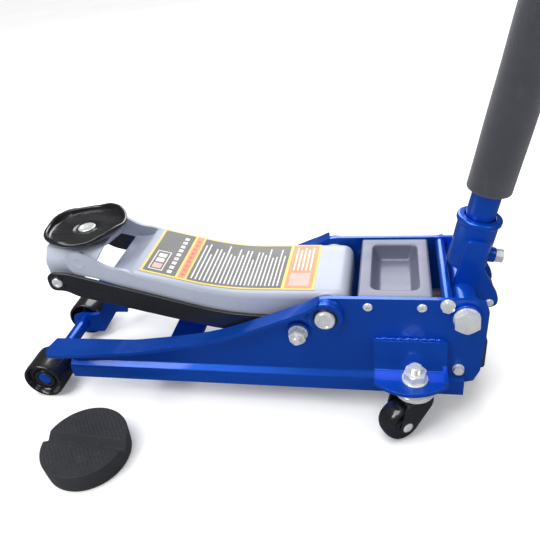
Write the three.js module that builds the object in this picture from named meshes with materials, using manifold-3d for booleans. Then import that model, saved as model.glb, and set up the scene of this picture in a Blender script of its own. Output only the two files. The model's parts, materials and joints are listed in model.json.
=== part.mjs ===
// Hydraulic trolley jack: two side plates carry a lift arm with a levelling link,
// a pump with its ram, a handle in a tilting socket, two front rollers and two casters.
// Millimetres, +Z up. While it is built, X = 0 is the front axle, +X runs to the handle
// and Z = 0 is the floor. At the end the group moves so that the origin is at the middle
// of its bounding box's base.
import * as THREE from 'three';
import { mergeVertices } from 'three/addons/utils/BufferGeometryUtils.js';
import Module from 'manifold-3d';

const wasm = await Module();
wasm.setup();

// ---------- driving dimensions ----------
const gap = 0.3; // between pieces that touch
const running = 0.5; // between pieces that move on each other
const round = 16; // sides of a large circle
const fine = 8; // sides of a small circle

const frame = {
  halfWidth: 71, // outer face of a side plate
  wall: 5,
  top: 169.5, // top edge behind the pivot
  rear: 594,
  front: 40, // front end of the web
  rearCorner: 16,
  lowerCorner: 24,
  lipBottom: 32,
  lipTop: 51,
  lipStep: 10, // how far the lower lip stands outside the web
  lipRear: 573,
  bendBottom: 60, // where the web turns out to the lip
  heelBottom: 42, // lower edge of the web behind the lip
};
const flange = { front: 31, wall: 5, bend: 6 };
const flangeTop = [ // top edge of the plate from the front to the pivot: x, z
  [31, 89.5], [150, 91.5], [199, 98.5], [245, 106.5], [282, 116.5], [330, 135.5], [389, 161], [403, 169.5],
];
const flangeEdge = [ // outer edge of the top flange: x, distance out from the web's outer face
  [26, 19], [34, 31], [60, 30], [124, 24], [176, 20], [220, 17], [300, 16], [380, 16], [403, 13],
];

const axle = { radius: 10, height: 29, halfLength: 87 };
const frontWheel = {
  radius: 29, outer: 92, width: 44, wall: 4, recess: 9, web: 8, hubRadius: 14.5, hubProud: 4,
};
const tongue = { inner: 40, wall: 6, radius: 17, straight: 31.5, rise: 46 };

const crossTie = { x0: 157, x1: 205, bottom: 20, wall: 6 };
const pivot = { x: 410.6, z: 145.5, radius: 12, halfLength: 85 };
const boss = { radius: 21, length: 8 };

const arm = {
  halfWidth: 57.5, wall: 5, topRear: 167, rearRadius: 27, hubRadius: 20,
  frontX: 98.7, frontZ: 209, frontRadius: 14.5, noseX: 160, noseZ: 198.5,
  bendX: 280, lowerBendX: 285, lowerBendZ: 121,
};
const armPin = { radius: 8 };
const heel = { reach: 52, angle: 10.75, pinRadius: 7, lobe: 14, halfWidth: 26, wall: 6 };
const label = { halfLength: 52, wall: 0.5, start: 176, end: 396 };

const link = {
  offsetX: -35, offsetZ: -26, wall: 5, halfHeight: 13.5, frontPin: 7, rearPin: 6,
  bendX: 285, bendZ: 122,
};
const clip = { radius: 10.5, wall: 1.4 };
const bracket = {
  front: 49, rear: 130, top: 223, wall: 5, topHalf: 38, sideTop: 207, lobe: 13,
  halfWidth: 52, side: 8, floor: 190,
};
const saddle = {
  x: 90, radius: 55, base: 223.4, height: 13.4, floor: 5.5, footRadius: 38, rimWidth: 5,
};
const saddleBolt = { radius: 11.5, head: 2, shank: 7 };

const ram = {
  z: 99, rodRadius: 13, pistonRadius: 18, pistonLength: 9, yokeHalf: 13, yokeWall: 8,
  slotSlack: 1.7, slotLow: 2.2, slotHigh: 13.7, pistonX: 518,
};
const cylinder = { front: 467, rear: 560, radius: 23, bore: ram.pistonRadius + running, cap: 7 };
const reservoir = { front: 472, rear: 529.7, radius: 35, wall: 2.5 };
const block = { front: 530, headRear: 562, rear: 603, halfWidth: 36, bottom: 36, top: 84, head: 29 };
const filler = { x: 500, radius: 6, head: 9, height: 4 };
const pump = { x: 588, radius: 8, capRadius: 13, capThick: 5, depth: 16, bore: 43, springWire: 1.8 };
const valve = { x: 579, y: 24, radius: 5, height: 12 };

const tray = {
  x0: 448, x1: 533, top: 168, wall: 2.5, flangeDepth: 20, recessX0: 463, recessX1: 519,
  recessHalf: 50, recessDepth: 19, corner: 8,
};
const trayScrew = { x: [460, 521], z: 158, radius: 3, head: 5.6, headHeight: 2.6 };
const crossRod = { x: 548.7, z: 162.5, radius: 6 };
const rodBolt = { radius: 4, across: 13, height: 5.5 };
const linkBolt = { across: 19, nut: 9.5, washer: 12, washerWall: 2.4, proud: 7 };
const socketBolt = { radius: 9, across: 27, height: 10, boss: 16, bossLength: 4 };
const blockBolt = { x: 566, z: 67.5, radius: 4, across: 11, height: 6 };

const handle = {
  radius: 16.4, wall: 2.2, start: 30, joint: 480, end: 985, foamRadius: 25, foamStart: 124,
  foamEnd: 455, gripRadius: 19.5, gripStart: 860, capWall: 3,
};
const socket = {
  x: 569.6, z: 147.5, lean: 9.9, radius: 23, bore: handle.radius + 0.8, bottom: 27, top: 91,
  collarRadius: 25.5, collarHeight: 7, earInner: 21, earWall: 7, earFront: 12, earRear: 12,
  sleeve: 15, lobeRadius: 10,
};
const roller = { dx: 31, dz: -13, pinRadius: 5, radius: 9, halfWidth: 16 };
const lockScrew = { along: 42, radius: 4, head: 8.5, headHeight: 9, lug: 9, lugLength: 6 };

const casterBracket = {
  x0: 467, x1: 551, top: 111, plateTop: 79, wall: 5, lipHeight: 5,
  edgeMid: frame.halfWidth + 59, edgeEnd: frame.halfWidth + 42,
};
const caster = {
  x: 514, y: frame.halfWidth + 34, yaw: 35, trail: 21, radius: 25, width: 28, forkWall: 3, raceRadius: 24,
  stem: 8, across: 24, nut: 13, proud: 8, axle: 5, forkTop: 59, cheekHalf: 17.5,
  crownFront: 15,
};
const pad = {
  x: 111, y: -186, radius: 55.5, base: 53.5, height: 28, grooveHalf: 9, grooveDepth: 9, turn: -3,
};

// ---------- shape helpers ----------
function toSolid(geometry) {
  const bare = geometry.clone();
  bare.deleteAttribute('normal');
  bare.deleteAttribute('uv');
  const merged = mergeVertices(bare, 1e-4);
  const corners = [];
  for (let i = 0; i < merged.index.count; i += 3) {
    const [a, b, c] = [0, 1, 2].map((k) => merged.index.getX(i + k));
    if (a !== b && b !== c && c !== a) corners.push(a, b, c);
  }
  return new wasm.Manifold(new wasm.Mesh({
    numProp: 3,
    vertProperties: new Float32Array(merged.attributes.position.array),
    triVerts: new Uint32Array(corners),
  }));
}

function join(...solids) {
  return solids.reduce((whole, piece) => whole.add(piece));
}

function cut(solid, ...tools) {
  return tools.reduce((whole, tool) => whole.subtract(tool), solid);
}

// an outline of [x, y, fillet] corners; a fillet takes less than half of the shorter edge
function outline(corners) {
  const shape = new THREE.Shape();
  corners.forEach(([x, y, fillet = 0], i) => {
    const here = new THREE.Vector2(x, y);
    const before = new THREE.Vector2(...corners.at(i - 1).slice(0, 2)).sub(here);
    const after = new THREE.Vector2(...corners[(i + 1) % corners.length].slice(0, 2)).sub(here);
    const reach = Math.min(fillet, 0.45 * before.length(), 0.45 * after.length());
    const start = here.clone().add(before.setLength(reach));
    const end = here.clone().add(after.setLength(reach));
    if (i === 0) shape.moveTo(start.x, start.y);
    else shape.lineTo(start.x, start.y);
    if (reach > 0) shape.quadraticCurveTo(x, y, end.x, end.y);
  });
  shape.closePath();
  return shape;
}

function extruded(shape, depth, curveSegments = 2) {
  return new THREE.ExtrudeGeometry(shape, { depth, bevelEnabled: false, curveSegments, steps: 1 });
}

// an outline in X and Z, as a slab between two Y values
function slabXZ(shape, y0, y1, curveSegments) {
  const geometry = extruded(shape, Math.abs(y1 - y0), curveSegments);
  geometry.rotateX(Math.PI / 2);
  geometry.translate(0, Math.max(y0, y1), 0);
  return toSolid(geometry);
}

// an outline in X and Y, as a slab between two heights
function slabXY(shape, z0, z1, curveSegments) {
  const geometry = extruded(shape, z1 - z0, curveSegments);
  geometry.translate(0, 0, z0);
  return toSolid(geometry);
}

// an outline in Y and Z, as a bar between two X values
function slabYZ(shape, x0, x1, curveSegments) {
  const geometry = extruded(shape, x1 - x0, curveSegments);
  const basis = new THREE.Matrix4().makeBasis(
    new THREE.Vector3(0, 1, 0), new THREE.Vector3(0, 0, 1), new THREE.Vector3(1, 0, 0));
  geometry.applyMatrix4(basis);
  geometry.translate(x0, 0, 0);
  return toSolid(geometry);
}

function box(x0, x1, y0, y1, z0, z1) {
  const geometry = new THREE.BoxGeometry(x1 - x0, Math.abs(y1 - y0), z1 - z0);
  geometry.translate((x0 + x1) / 2, (y0 + y1) / 2, (z0 + z1) / 2);
  return toSolid(geometry);
}

function rodY(radius, x, z, y0, y1, sides = round) {
  const geometry = new THREE.CylinderGeometry(radius, radius, Math.abs(y1 - y0), sides);
  geometry.translate(x, (y0 + y1) / 2, z);
  return toSolid(geometry);
}

function rodX(radius, y, z, x0, x1, sides = round) {
  const geometry = new THREE.CylinderGeometry(radius, radius, x1 - x0, sides);
  geometry.rotateZ(Math.PI / 2);
  geometry.translate((x0 + x1) / 2, y, z);
  return toSolid(geometry);
}

function rodZ(radius, x, y, z0, z1, sides = round) {
  const geometry = new THREE.CylinderGeometry(radius, radius, z1 - z0, sides);
  geometry.rotateX(Math.PI / 2);
  geometry.translate(x, y, (z0 + z1) / 2);
  return toSolid(geometry);
}

// a turned body about +Z from [radius, height] points that begin and end on the axis
function turnedZ(profile, sides = round) {
  const points = profile.map(([radius, height]) => new THREE.Vector2(radius, height));
  const geometry = new THREE.LatheGeometry(points, sides);
  geometry.rotateX(Math.PI / 2);
  return toSolid(geometry);
}

// a hexagon bar along Y, flats at the top and bottom
function hexY(across, x, z, y0, y1) {
  return rodY(across / Math.sqrt(3), x, z, y0, y1, 6);
}

const jack = new THREE.Group();

function finish(color, roughness, metalness) {
  return { color, roughness, metalness };
}

const bluePaint = finish(0x0f3fb8, 0.28, 0.2);
const greyPaint = finish(0xc9cdd8, 0.4, 0.1);
const blackPaint = finish(0x101114, 0.25, 0.2);
const zinc = finish(0xd7dad6, 0.3, 0.9);
const trayGrey = finish(0x74768a, 0.5, 0.1);
const steel = finish(0x9a9ca0, 0.35, 0.9);
const castIron = finish(0x3a3d44, 0.6, 0.5);
const foam = finish(0x45474e, 0.95, 0);
const rubber = finish(0x3d3d43, 0.85, 0);
const paper = finish(0x1c1c1c, 0.4, 0);

function add(name, solid, look, parent = jack) {
  const { vertProperties, triVerts } = solid.getMesh();
  const geometry = new THREE.BufferGeometry();
  geometry.setAttribute('position', new THREE.BufferAttribute(new Float32Array(vertProperties), 3));
  geometry.setIndex(new THREE.BufferAttribute(new Uint32Array(triVerts), 1));
  geometry.computeVertexNormals();
  const mesh = new THREE.Mesh(geometry, new THREE.MeshStandardMaterial(look));
  mesh.name = name;
  parent.add(mesh);
  return mesh;
}

const sides = [['left', -1], ['right', 1]];
const inner = frame.halfWidth - frame.wall; // inner face of a side plate
const heelAngle = THREE.MathUtils.degToRad(heel.angle);
const heelPin = {
  x: pivot.x + heel.reach * Math.sin(heelAngle),
  z: pivot.z - heel.reach * Math.cos(heelAngle),
};
const linkRear = { x: pivot.x + link.offsetX, z: pivot.z + link.offsetZ };
const linkFront = { x: arm.frontX + link.offsetX, z: arm.frontZ + link.offsetZ };
const linkInner = arm.halfWidth + running;
const linkOuter = linkInner + link.wall;

// ---------- chassis ----------
// the web, from its front end to the rounded rear corners
function webOutline() {
  const top = flangeTop.filter(([x]) => x > frame.front);
  const front = new THREE.Vector2(frame.front, flangeTop[0][1]);
  return outline([
    [frame.front, frame.bendBottom], [540, frame.bendBottom], [540, frame.heelBottom],
    [frame.rear - 4, frame.heelBottom, frame.lowerCorner],
    [frame.rear, 125, 20],
    [frame.rear, frame.top, frame.rearCorner],
    [top.at(-1)[0] + 4, frame.top, 8],
    ...top.slice(0, -1).reverse().map(([x, z]) => [x, z, 10]),
    [front.x, front.y],
  ]);
}

function topFlange(side) {
  const plan = outline([
    ...flangeEdge.map(([x, out]) => [x, side * (frame.halfWidth + out), 5]),
    [flangeTop.at(-1)[0], side * inner],
    [flange.front, side * inner],
  ]);
  const atEnd = (i) => i === 0 || i === flangeTop.length - 1;
  const edge = flangeTop.map(([x, z], i) => [i === 0 ? x - 10 : x, z, atEnd(i) ? 0 : flange.bend]);
  const band = outline([...edge, ...edge.map(([x, z, bend]) => [x, z - flange.wall, bend]).reverse()]);
  return slabXY(plan, frame.bendBottom, frame.top + 1)
    .intersect(slabXZ(band, side * (inner - 1), side * 120));
}

function lowerLip(side) {
  const web = frame.halfWidth;
  const out = frame.halfWidth + frame.lipStep;
  const section = outline([
    [side * web, frame.bendBottom + 4], [side * web, frame.bendBottom - 1, 3],
    [side * out, frame.lipTop, 3], [side * out, frame.lipBottom],
    [side * (out - frame.wall), frame.lipBottom], [side * (out - frame.wall), frame.lipTop - 3, 2],
    [side * inner, frame.bendBottom - 4, 2], [side * inner, frame.bendBottom + 4],
  ]);
  return slabYZ(section, frame.front + 6, frame.lipRear);
}

// the plate's front end steps inwards, passes behind the wheel and holds the axle
function frontTongue(side) {
  const t = tongue.wall;
  const rise = tongue.rise;
  const plan = outline([
    [-tongue.radius, side * tongue.inner], [tongue.straight, side * tongue.inner, 4],
    [rise, side * inner, 4], [rise + 20, side * inner], [rise + 20, side * (inner + t - 1)],
    [rise - 3, side * (inner + t - 1), 4], [tongue.straight - 2, side * (tongue.inner + t), 4],
    [-tongue.radius, side * (tongue.inner + t)],
  ]);
  const profile = outline([
    [-tongue.radius, axle.height - tongue.radius, 14], [tongue.straight, axle.height - tongue.radius],
    [rise, frame.lipBottom], [rise + 20, frame.lipBottom], [rise + 20, frame.bendBottom + 12],
    [rise, frame.bendBottom + 12], [tongue.straight, axle.height + tongue.radius],
    [-tongue.radius, axle.height + tongue.radius, 14],
  ]);
  return slabXY(plan, 0, frame.top).intersect(slabXZ(profile, side * 30, side * 90));
}

function holeY(radius, x, z, side) {
  return rodY(radius + gap, x, z, side * (inner - 10), side * (frame.halfWidth + 30), fine);
}

function sidePlate(side) {
  const out = side * (frame.halfWidth + boss.length);
  const plate = join(
    slabXZ(webOutline(), side * inner, side * frame.halfWidth),
    topFlange(side),
    lowerLip(side),
    frontTongue(side),
    rodY(boss.radius, pivot.x, pivot.z, side * (inner + 1), out),
    rodY(socketBolt.boss, socket.x, socket.z, side * (inner + 1),
      side * (frame.halfWidth + socketBolt.bossLength)),
    rodY(linkBolt.washer + 2, linkRear.x, linkRear.z, side * (inner + 1), side * (frame.halfWidth + 3)),
  );
  const axleHole = rodY(axle.radius + gap, 0, axle.height, side * 30, side * 60);
  return cut(plate, axleHole,
    rodY(pivot.radius + gap, pivot.x, pivot.z, side * 50, side * 100),
    holeY(link.rearPin, linkRear.x, linkRear.z, side),
    holeY(socketBolt.radius, socket.x, socket.z, side),
    holeY(rodBolt.radius, crossRod.x, crossRod.z, side),
    holeY(blockBolt.radius, blockBolt.x, blockBolt.z, side),
    ...trayScrew.x.map((x) => holeY(trayScrew.radius, x, trayScrew.z, side)));
}

function boltY(side, x, z, radius, across, height, seat, tip) {
  return join(
    hexY(across, x, z, side * (seat + gap), side * (seat + gap + height)),
    rodY(radius, x, z, side * tip, side * (seat + gap + 1), fine));
}

function casterBracketBody(side) {
  const c = casterBracket;
  const web = frame.halfWidth + gap;
  const lip = frame.halfWidth + frame.lipStep + gap;
  const mid = (c.x0 + c.x1) / 2;
  const edge = new THREE.Shape();
  edge.moveTo(c.x0, side * web);
  edge.lineTo(c.x0, side * c.edgeEnd);
  edge.quadraticCurveTo(mid, side * (2 * c.edgeMid - c.edgeEnd), c.x1, side * c.edgeEnd);
  edge.lineTo(c.x1, side * web);
  edge.closePath();
  const plate = slabXY(edge, c.plateTop - c.wall, c.plateTop, 10);
  const section = outline([
    [side * web, c.top], [side * (web + c.wall), c.top], [side * (lip + c.wall), c.plateTop + 6, 5],
    [side * (lip + c.wall + 6), c.plateTop - 2], [side * web, c.plateTop - 2],
  ]);
  const face = slabYZ(section, c.x0, c.x1);
  const endLip = slabXY(outline([
    [c.x1 - c.wall, side * web], [c.x1 - c.wall, side * (c.edgeEnd + 3)],
    [c.x1, side * c.edgeEnd], [c.x1, side * web],
  ]), c.plateTop - 2, c.plateTop + c.lipHeight);
  const stemHole = rodZ(caster.stem + gap, caster.x, side * caster.y, 60, 100);
  return cut(join(plate, face, endLip), stemHole);
}

function tray3d() {
  const t = tray;
  const half = inner - gap;
  const mouth = [t.recessX0, t.recessX1, t.recessHalf];
  const sheet = box(t.x0, t.x1, -half, half, t.top - t.wall, t.top);
  const flanges = sides.map(([, side]) => box(t.x0, t.x1, side * (half - t.wall), side * half,
    t.top - t.flangeDepth, t.top - 1));
  const panShape = (grow) => outline([
    [mouth[0] - grow, -mouth[2] - grow, t.corner], [mouth[1] + grow, -mouth[2] - grow, t.corner],
    [mouth[1] + grow, mouth[2] + grow, t.corner], [mouth[0] - grow, mouth[2] + grow, t.corner],
  ]);
  const pan = slabXY(panShape(t.wall), t.top - t.recessDepth - t.wall, t.top - 1, 4);
  const hollow = slabXY(panShape(0), t.top - t.recessDepth, t.top + 1, 4);
  const screwHoles = trayScrew.x.map((x) => rodY(trayScrew.radius + gap, x, trayScrew.z,
    -frame.halfWidth, frame.halfWidth, fine));
  return cut(join(sheet, ...flanges, pan), hollow, ...screwHoles);
}

function trayScrewBody(side, x) {
  const seat = frame.halfWidth + gap;
  return join(
    rodY(trayScrew.head, x, trayScrew.z, side * seat, side * (seat + trayScrew.headHeight), fine),
    rodY(trayScrew.radius, x, trayScrew.z, side * (inner - tray.wall - 4), side * (seat + 1), fine));
}

function linkStud(side) {
  const bossFace = frame.halfWidth + 3 + gap;
  const nutEnd = bossFace + linkBolt.washerWall + linkBolt.nut;
  return join(
    rodY(link.rearPin, linkRear.x, linkRear.z, side * linkInner, side * (nutEnd + linkBolt.proud), fine),
    rodY(linkBolt.washer, linkRear.x, linkRear.z, side * bossFace,
      side * (bossFace + linkBolt.washerWall), round),
    hexY(linkBolt.across, linkRear.x, linkRear.z, side * (bossFace + 1), side * nutEnd));
}

// ---------- hydraulic unit ----------
function ramCylinder() {
  const c = cylinder;
  return cut(rodX(c.radius, 0, ram.z, c.front, c.rear),
    rodX(c.bore, 0, ram.z, c.front + c.cap, c.rear - c.cap),
    rodX(ram.rodRadius + running, 0, ram.z, c.front - 5, c.front + c.cap + 2));
}

function oilReservoir() {
  const r = reservoir;
  return cut(rodX(r.radius, 0, ram.z, r.front, r.rear),
    rodX(r.radius - r.wall, 0, ram.z, r.front + 6, r.rear + 1),
    rodX(cylinder.radius + gap, 0, ram.z, r.front - 1, r.front + 7),
    rodZ(filler.radius + gap, filler.x, 0, ram.z + 28, ram.z + 50, fine));
}

function fillerPlug() {
  const top = ram.z + reservoir.radius;
  return join(
    rodZ(filler.radius, filler.x, 0, top - 8, top + gap + 1, fine),
    rodZ(filler.head, filler.x, 0, top + gap, top + gap + filler.height, 6));
}

function pumpBlock() {
  const b = block;
  const body = slabXZ(outline([
    [b.front, b.bottom, 4], [b.rear, b.bottom, 4], [b.rear, b.top, 4], [b.front, b.top, 4],
  ]), -b.halfWidth, b.halfWidth);
  const head = rodX(b.head, 0, ram.z, b.front, b.headRear);
  const ears = sides.map(([, side]) => rodY(10, blockBolt.x, blockBolt.z,
    side * (b.halfWidth - 1), side * (inner - gap)));
  return cut(join(body, head, ...ears),
    rodX(cylinder.radius + gap, 0, ram.z, b.front - 1, cylinder.rear + gap),
    rodZ(pump.radius + running, pump.x, 0, b.top - pump.bore, b.top + 1),
    rodZ(valve.radius + running, valve.x, valve.y, b.top - valve.height, b.top + 1, fine),
    ...sides.map(([, side]) => rodY(blockBolt.radius + gap, blockBolt.x, blockBolt.z,
      side * (inner - 16), side * inner, fine)));
}

const rollerAxis = new THREE.Vector2(roller.dx, roller.dz);
const plungerTop = socket.z + rollerAxis.y - roller.radius - 1.5;

function releaseValve() {
  const v = valve;
  return join(rodZ(v.radius, v.x, v.y, block.top - v.height + gap, block.top + 3, fine),
    box(v.x - 8, v.x + 8, v.y - 2, v.y + 2, block.top + 2, block.top + 6));
}

function pumpPlunger() {
  return join(
    rodZ(pump.radius, pump.x, 0, block.top - pump.depth, plungerTop - 1, round),
    rodZ(pump.capRadius, pump.x, 0, plungerTop - pump.capThick, plungerTop, round));
}

class Helix extends THREE.Curve {
  constructor(radius, pitch, turns, phase = 0) {
    super();
    Object.assign(this, { radius, pitch, turns, phase });
  }

  getPoint(t, target = new THREE.Vector3()) {
    const turn = t * this.turns * 2 * Math.PI + this.phase;
    return target.set(this.radius * Math.cos(turn), this.radius * Math.sin(turn),
      t * this.turns * this.pitch);
  }
}

function plungerSpring() {
  const wire = pump.springWire / 2;
  const low = block.top + gap + wire * 1.3;
  const high = plungerTop - pump.capThick - gap - wire * 1.3;
  const turns = 5;
  const section = new THREE.Shape();
  section.absarc(0, 0, wire, 0, 2 * Math.PI);
  const curve = new Helix(pump.radius + wire + 0.7, (high - low) / turns, turns);
  const geometry = new THREE.ExtrudeGeometry(section, {
    extrudePath: curve, steps: 44, curveSegments: 2, bevelEnabled: false,
  });
  geometry.translate(pump.x, 0, low);
  return toSolid(geometry);
}

function ramRod() {
  const slotX = heel.pinRadius + ram.slotSlack;
  const slotTop = heelPin.z + ram.slotHigh + heel.pinRadius;
  const slotBottom = heelPin.z - ram.slotLow - heel.pinRadius;
  const rear = heelPin.x + slotX + ram.yokeWall;
  const head = box(heelPin.x - slotX - ram.yokeWall, rear, -ram.yokeHalf, ram.yokeHalf,
    slotBottom - ram.yokeWall, slotTop + ram.yokeWall);
  const slot = box(heelPin.x - slotX, heelPin.x + slotX, -ram.yokeHalf - 1, ram.yokeHalf + 1,
    slotBottom, slotTop);
  return join(cut(head, slot),
    rodX(ram.rodRadius, 0, ram.z, rear - 2, ram.pistonX),
    rodX(ram.pistonRadius, 0, ram.z, ram.pistonX - 1, ram.pistonX + ram.pistonLength));
}

// ---------- lift arm and its levelling link ----------
function armProfile() {
  const a = arm;
  return outline([
    [a.frontX - a.frontRadius, a.frontZ - a.frontRadius, 9],
    [a.frontX + 20, a.frontZ - a.frontRadius - 8, 10],
    [a.lowerBendX, a.lowerBendZ, 20], [pivot.x - 42, a.lowerBendZ - 6, 10],
    [heelPin.x - heel.lobe - 6, heelPin.z + 14, 8],
    [pivot.x + a.rearRadius - 2, heelPin.z + 14, 8],
    [pivot.x + a.rearRadius, a.topRear, 16],
    [a.bendX, a.topRear, 14], [a.noseX + 8, a.noseZ - 2, 8], [a.noseX - 16, a.noseZ + 1, 4],
    [a.frontX + 18, a.frontZ + 6, 8], [a.frontX - 2, a.frontZ + a.frontRadius, 10],
    [a.frontX - a.frontRadius, a.frontZ + 8, 6],
  ]);
}

// the bent top sheet from the nose to the rounded rear
function armTop() {
  const a = arm;
  const w = a.wall;
  return outline([
    [a.noseX, a.noseZ - 12, 3], [a.noseX + 4, a.noseZ - 1, 4], [a.bendX, a.topRear, 14],
    [pivot.x + a.rearRadius, a.topRear, 16], [pivot.x + a.rearRadius, pivot.z - 14],
    [pivot.x + a.rearRadius - w, pivot.z - 14], [pivot.x + a.rearRadius - w, a.topRear - w, 12],
    [a.bendX, a.topRear - w, 14], [a.noseX + 9, a.noseZ - 7, 3], [a.noseX + 6, a.noseZ - 13],
  ]);
}

function heelCheek() {
  const reach = heel.lobe;
  return outline([
    [pivot.x - arm.hubRadius, pivot.z], [heelPin.x - reach, heelPin.z - 2, 6],
    [heelPin.x - reach + 4, heelPin.z - reach, 7], [heelPin.x + reach - 4, heelPin.z - reach, 7],
    [heelPin.x + reach, heelPin.z - 2, 6], [pivot.x + arm.hubRadius, pivot.z],
  ]);
}

function liftArm() {
  const a = arm;
  const envelope = slabYZ(outline([
    [-a.halfWidth, 0], [-a.halfWidth, a.topRear + 80], [a.halfWidth, a.topRear + 80], [a.halfWidth, 0],
  ]), a.frontX - 60, pivot.x + 60);
  const cheeks = sides.map(([, side]) => slabXZ(armProfile(), side * (a.halfWidth - a.wall),
    side * a.halfWidth));
  const top = slabXZ(armTop(), -a.halfWidth + 1, a.halfWidth - 1);
  const hub = rodY(a.hubRadius, pivot.x, pivot.z, -a.halfWidth, a.halfWidth);
  const heelCheeks = sides.map(([, side]) => slabXZ(heelCheek(), side * (heel.halfWidth - heel.wall),
    side * heel.halfWidth));
  return cut(join(...cheeks, top, hub, ...heelCheeks).intersect(envelope),
    rodY(pivot.radius + running, pivot.x, pivot.z, -a.halfWidth - 1, a.halfWidth + 1),
    rodY(armPin.radius + gap, a.frontX, a.frontZ, -a.halfWidth - 1, a.halfWidth + 1),
    rodY(heel.pinRadius + gap, heelPin.x, heelPin.z, -heel.halfWidth - 1, heel.halfWidth + 1));
}

function labelSheet() {
  const lift = gap;
  const a = arm;
  const slope = (a.noseZ - 1 - a.topRear) / (a.noseX + 4 - a.bendX);
  const startZ = a.topRear + slope * (label.start - a.bendX);
  const profile = outline([
    [label.start, startZ + lift], [a.bendX, a.topRear + lift, 14], [label.end, a.topRear + lift],
    [label.end, a.topRear + lift + label.wall], [a.bendX, a.topRear + lift + label.wall, 14],
    [label.start, startZ + lift + label.wall],
  ]);
  return slabXZ(profile, -label.halfLength, label.halfLength);
}

function linkBar(side) {
  const h = link.halfHeight;
  const bar = outline([
    [linkFront.x - h, linkFront.z - h, 11], [linkFront.x - h, linkFront.z + h, 11],
    [linkFront.x + 14, linkFront.z + h, 8], [link.bendX, link.bendZ + h, 20],
    [linkRear.x + h, linkRear.z + h, 11], [linkRear.x + h, linkRear.z - h, 11],
    [link.bendX, link.bendZ - h, 20], [linkFront.x + 22, linkFront.z - h - 9, 10],
    [linkFront.x + 8, linkFront.z - h, 6],
  ]);
  return cut(slabXZ(bar, side * linkInner, side * linkOuter),
    rodY(link.frontPin + running, linkFront.x, linkFront.z, side * 40, side * 80),
    rodY(link.rearPin + running, linkRear.x, linkRear.z, side * 40, side * 80));
}

// ---------- saddle ----------
function saddleBracket() {
  const b = bracket;
  const section = outline([
    [-b.halfWidth, 0], [-b.halfWidth, b.sideTop, 4], [-b.topHalf, b.top, 4], [b.topHalf, b.top, 4],
    [b.halfWidth, b.sideTop, 4], [b.halfWidth, 0],
  ]);
  const profile = outline([
    [b.front, b.top], [b.front + 2, linkFront.z, 4], [linkFront.x - b.lobe, linkFront.z - b.lobe, 8],
    [linkFront.x + b.lobe, linkFront.z - b.lobe, 8], [arm.frontX + b.lobe, arm.frontZ - b.lobe - 2, 6],
    [b.rear - 14, b.floor + 12, 4], [b.rear, b.top],
  ]);
  const wallInner = b.halfWidth - b.side;
  const throat = outline([
    [-wallInner, 0], [-wallInner, b.sideTop - b.wall], [4 - b.topHalf, b.top - b.wall],
    [b.topHalf - 4, b.top - b.wall], [wallInner, b.sideTop - b.wall], [wallInner, 0],
  ]);
  const shell = slabXZ(profile, -b.halfWidth, b.halfWidth).intersect(slabYZ(section, 0, 200));
  return cut(shell,
    slabYZ(throat, b.front - 10, b.rear + 10),
    rodY(armPin.radius + running, arm.frontX, arm.frontZ, -60, 60),
    rodY(link.frontPin + gap, linkFront.x, linkFront.z, -60, 60),
    rodZ(saddleBolt.shank + running, saddle.x, 0, b.top - 12, b.top + 1));
}

function saddleDish() {
  const s = saddle;
  const r = s.radius;
  const dish = turnedZ([
    [0, 0], [s.footRadius, 0], [r - 6, 4], [r, 8.5], [r, s.height - 1], [r - 1.5, s.height],
    [r - s.rimWidth, s.height - 0.5], [r - s.rimWidth - 1.5, s.floor + 1], [r - 12, s.floor], [0, s.floor],
  ], 28);
  const bore = rodZ(saddleBolt.shank + gap, 0, 0, -1, s.height, fine);
  const seat = rodZ(saddleBolt.radius + gap, 0, 0, s.floor - saddleBolt.head, s.height, round);
  return cut(dish, bore, seat).translate([s.x, 0, s.base]);
}

function saddleBoltBody() {
  const headTop = saddle.base + saddle.floor - saddleBolt.head + gap + saddleBolt.head;
  return join(
    rodZ(saddleBolt.radius, saddle.x, 0, headTop - saddleBolt.head, headTop + 0.6),
    rodZ(saddleBolt.shank, saddle.x, 0, arm.frontZ + armPin.radius + gap, headTop - 1, fine));
}

// ---------- handle and socket, built upright about the socket's pivot ----------
function handleSocket() {
  const s = socket;
  const tube = join(
    rodZ(s.radius, 0, 0, s.bottom, s.top - 1),
    turnedZ([[0, s.top - s.collarHeight - 3], [s.radius, s.top - s.collarHeight - 3],
      [s.collarRadius, s.top - s.collarHeight], [s.collarRadius, s.top - 2], [s.collarRadius - 2, s.top],
      [0, s.top]]));
  const lobe = rollerAxis.clone().rotateAround(new THREE.Vector2(), leanAngle);
  const earOutline = outline([
    [-s.earFront - 1, -s.sleeve + 2, 8], [8, -s.sleeve - 3, 6],
    [lobe.x - 3, lobe.y - s.lobeRadius, 6], [lobe.x + s.lobeRadius, lobe.y - 3, 7],
    [lobe.x + s.lobeRadius - 2, lobe.y + 10, 6], [s.earRear, s.bottom + 14, 6], [s.earRear, s.top - 20, 4],
    [-s.earFront, s.top - 20, 4], [-s.earFront - 1, s.bottom - 6],
  ]);
  const ears = sides.map(([, side]) => slabXZ(earOutline, side * s.earInner,
    side * (s.earInner + s.earWall)));
  const lug = rodX(lockScrew.lug, 0, lockScrew.along, s.radius - 3, s.radius + lockScrew.lugLength);
  const sleeve = rodY(s.sleeve, 0, 0, -(inner - running), inner - running);
  return cut(join(tube, ...ears, sleeve, lug),
    rodZ(s.bore, 0, 0, s.bottom - 5, s.top + 1),
    rodY(socketBolt.radius + gap, 0, 0, -inner, inner),
    rodY(roller.pinRadius + gap, lobe.x, lobe.y, -60, 60, fine),
    rodX(lockScrew.radius + gap, 0, lockScrew.along, s.bore - 3, s.radius + 20, fine));
}

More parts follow.
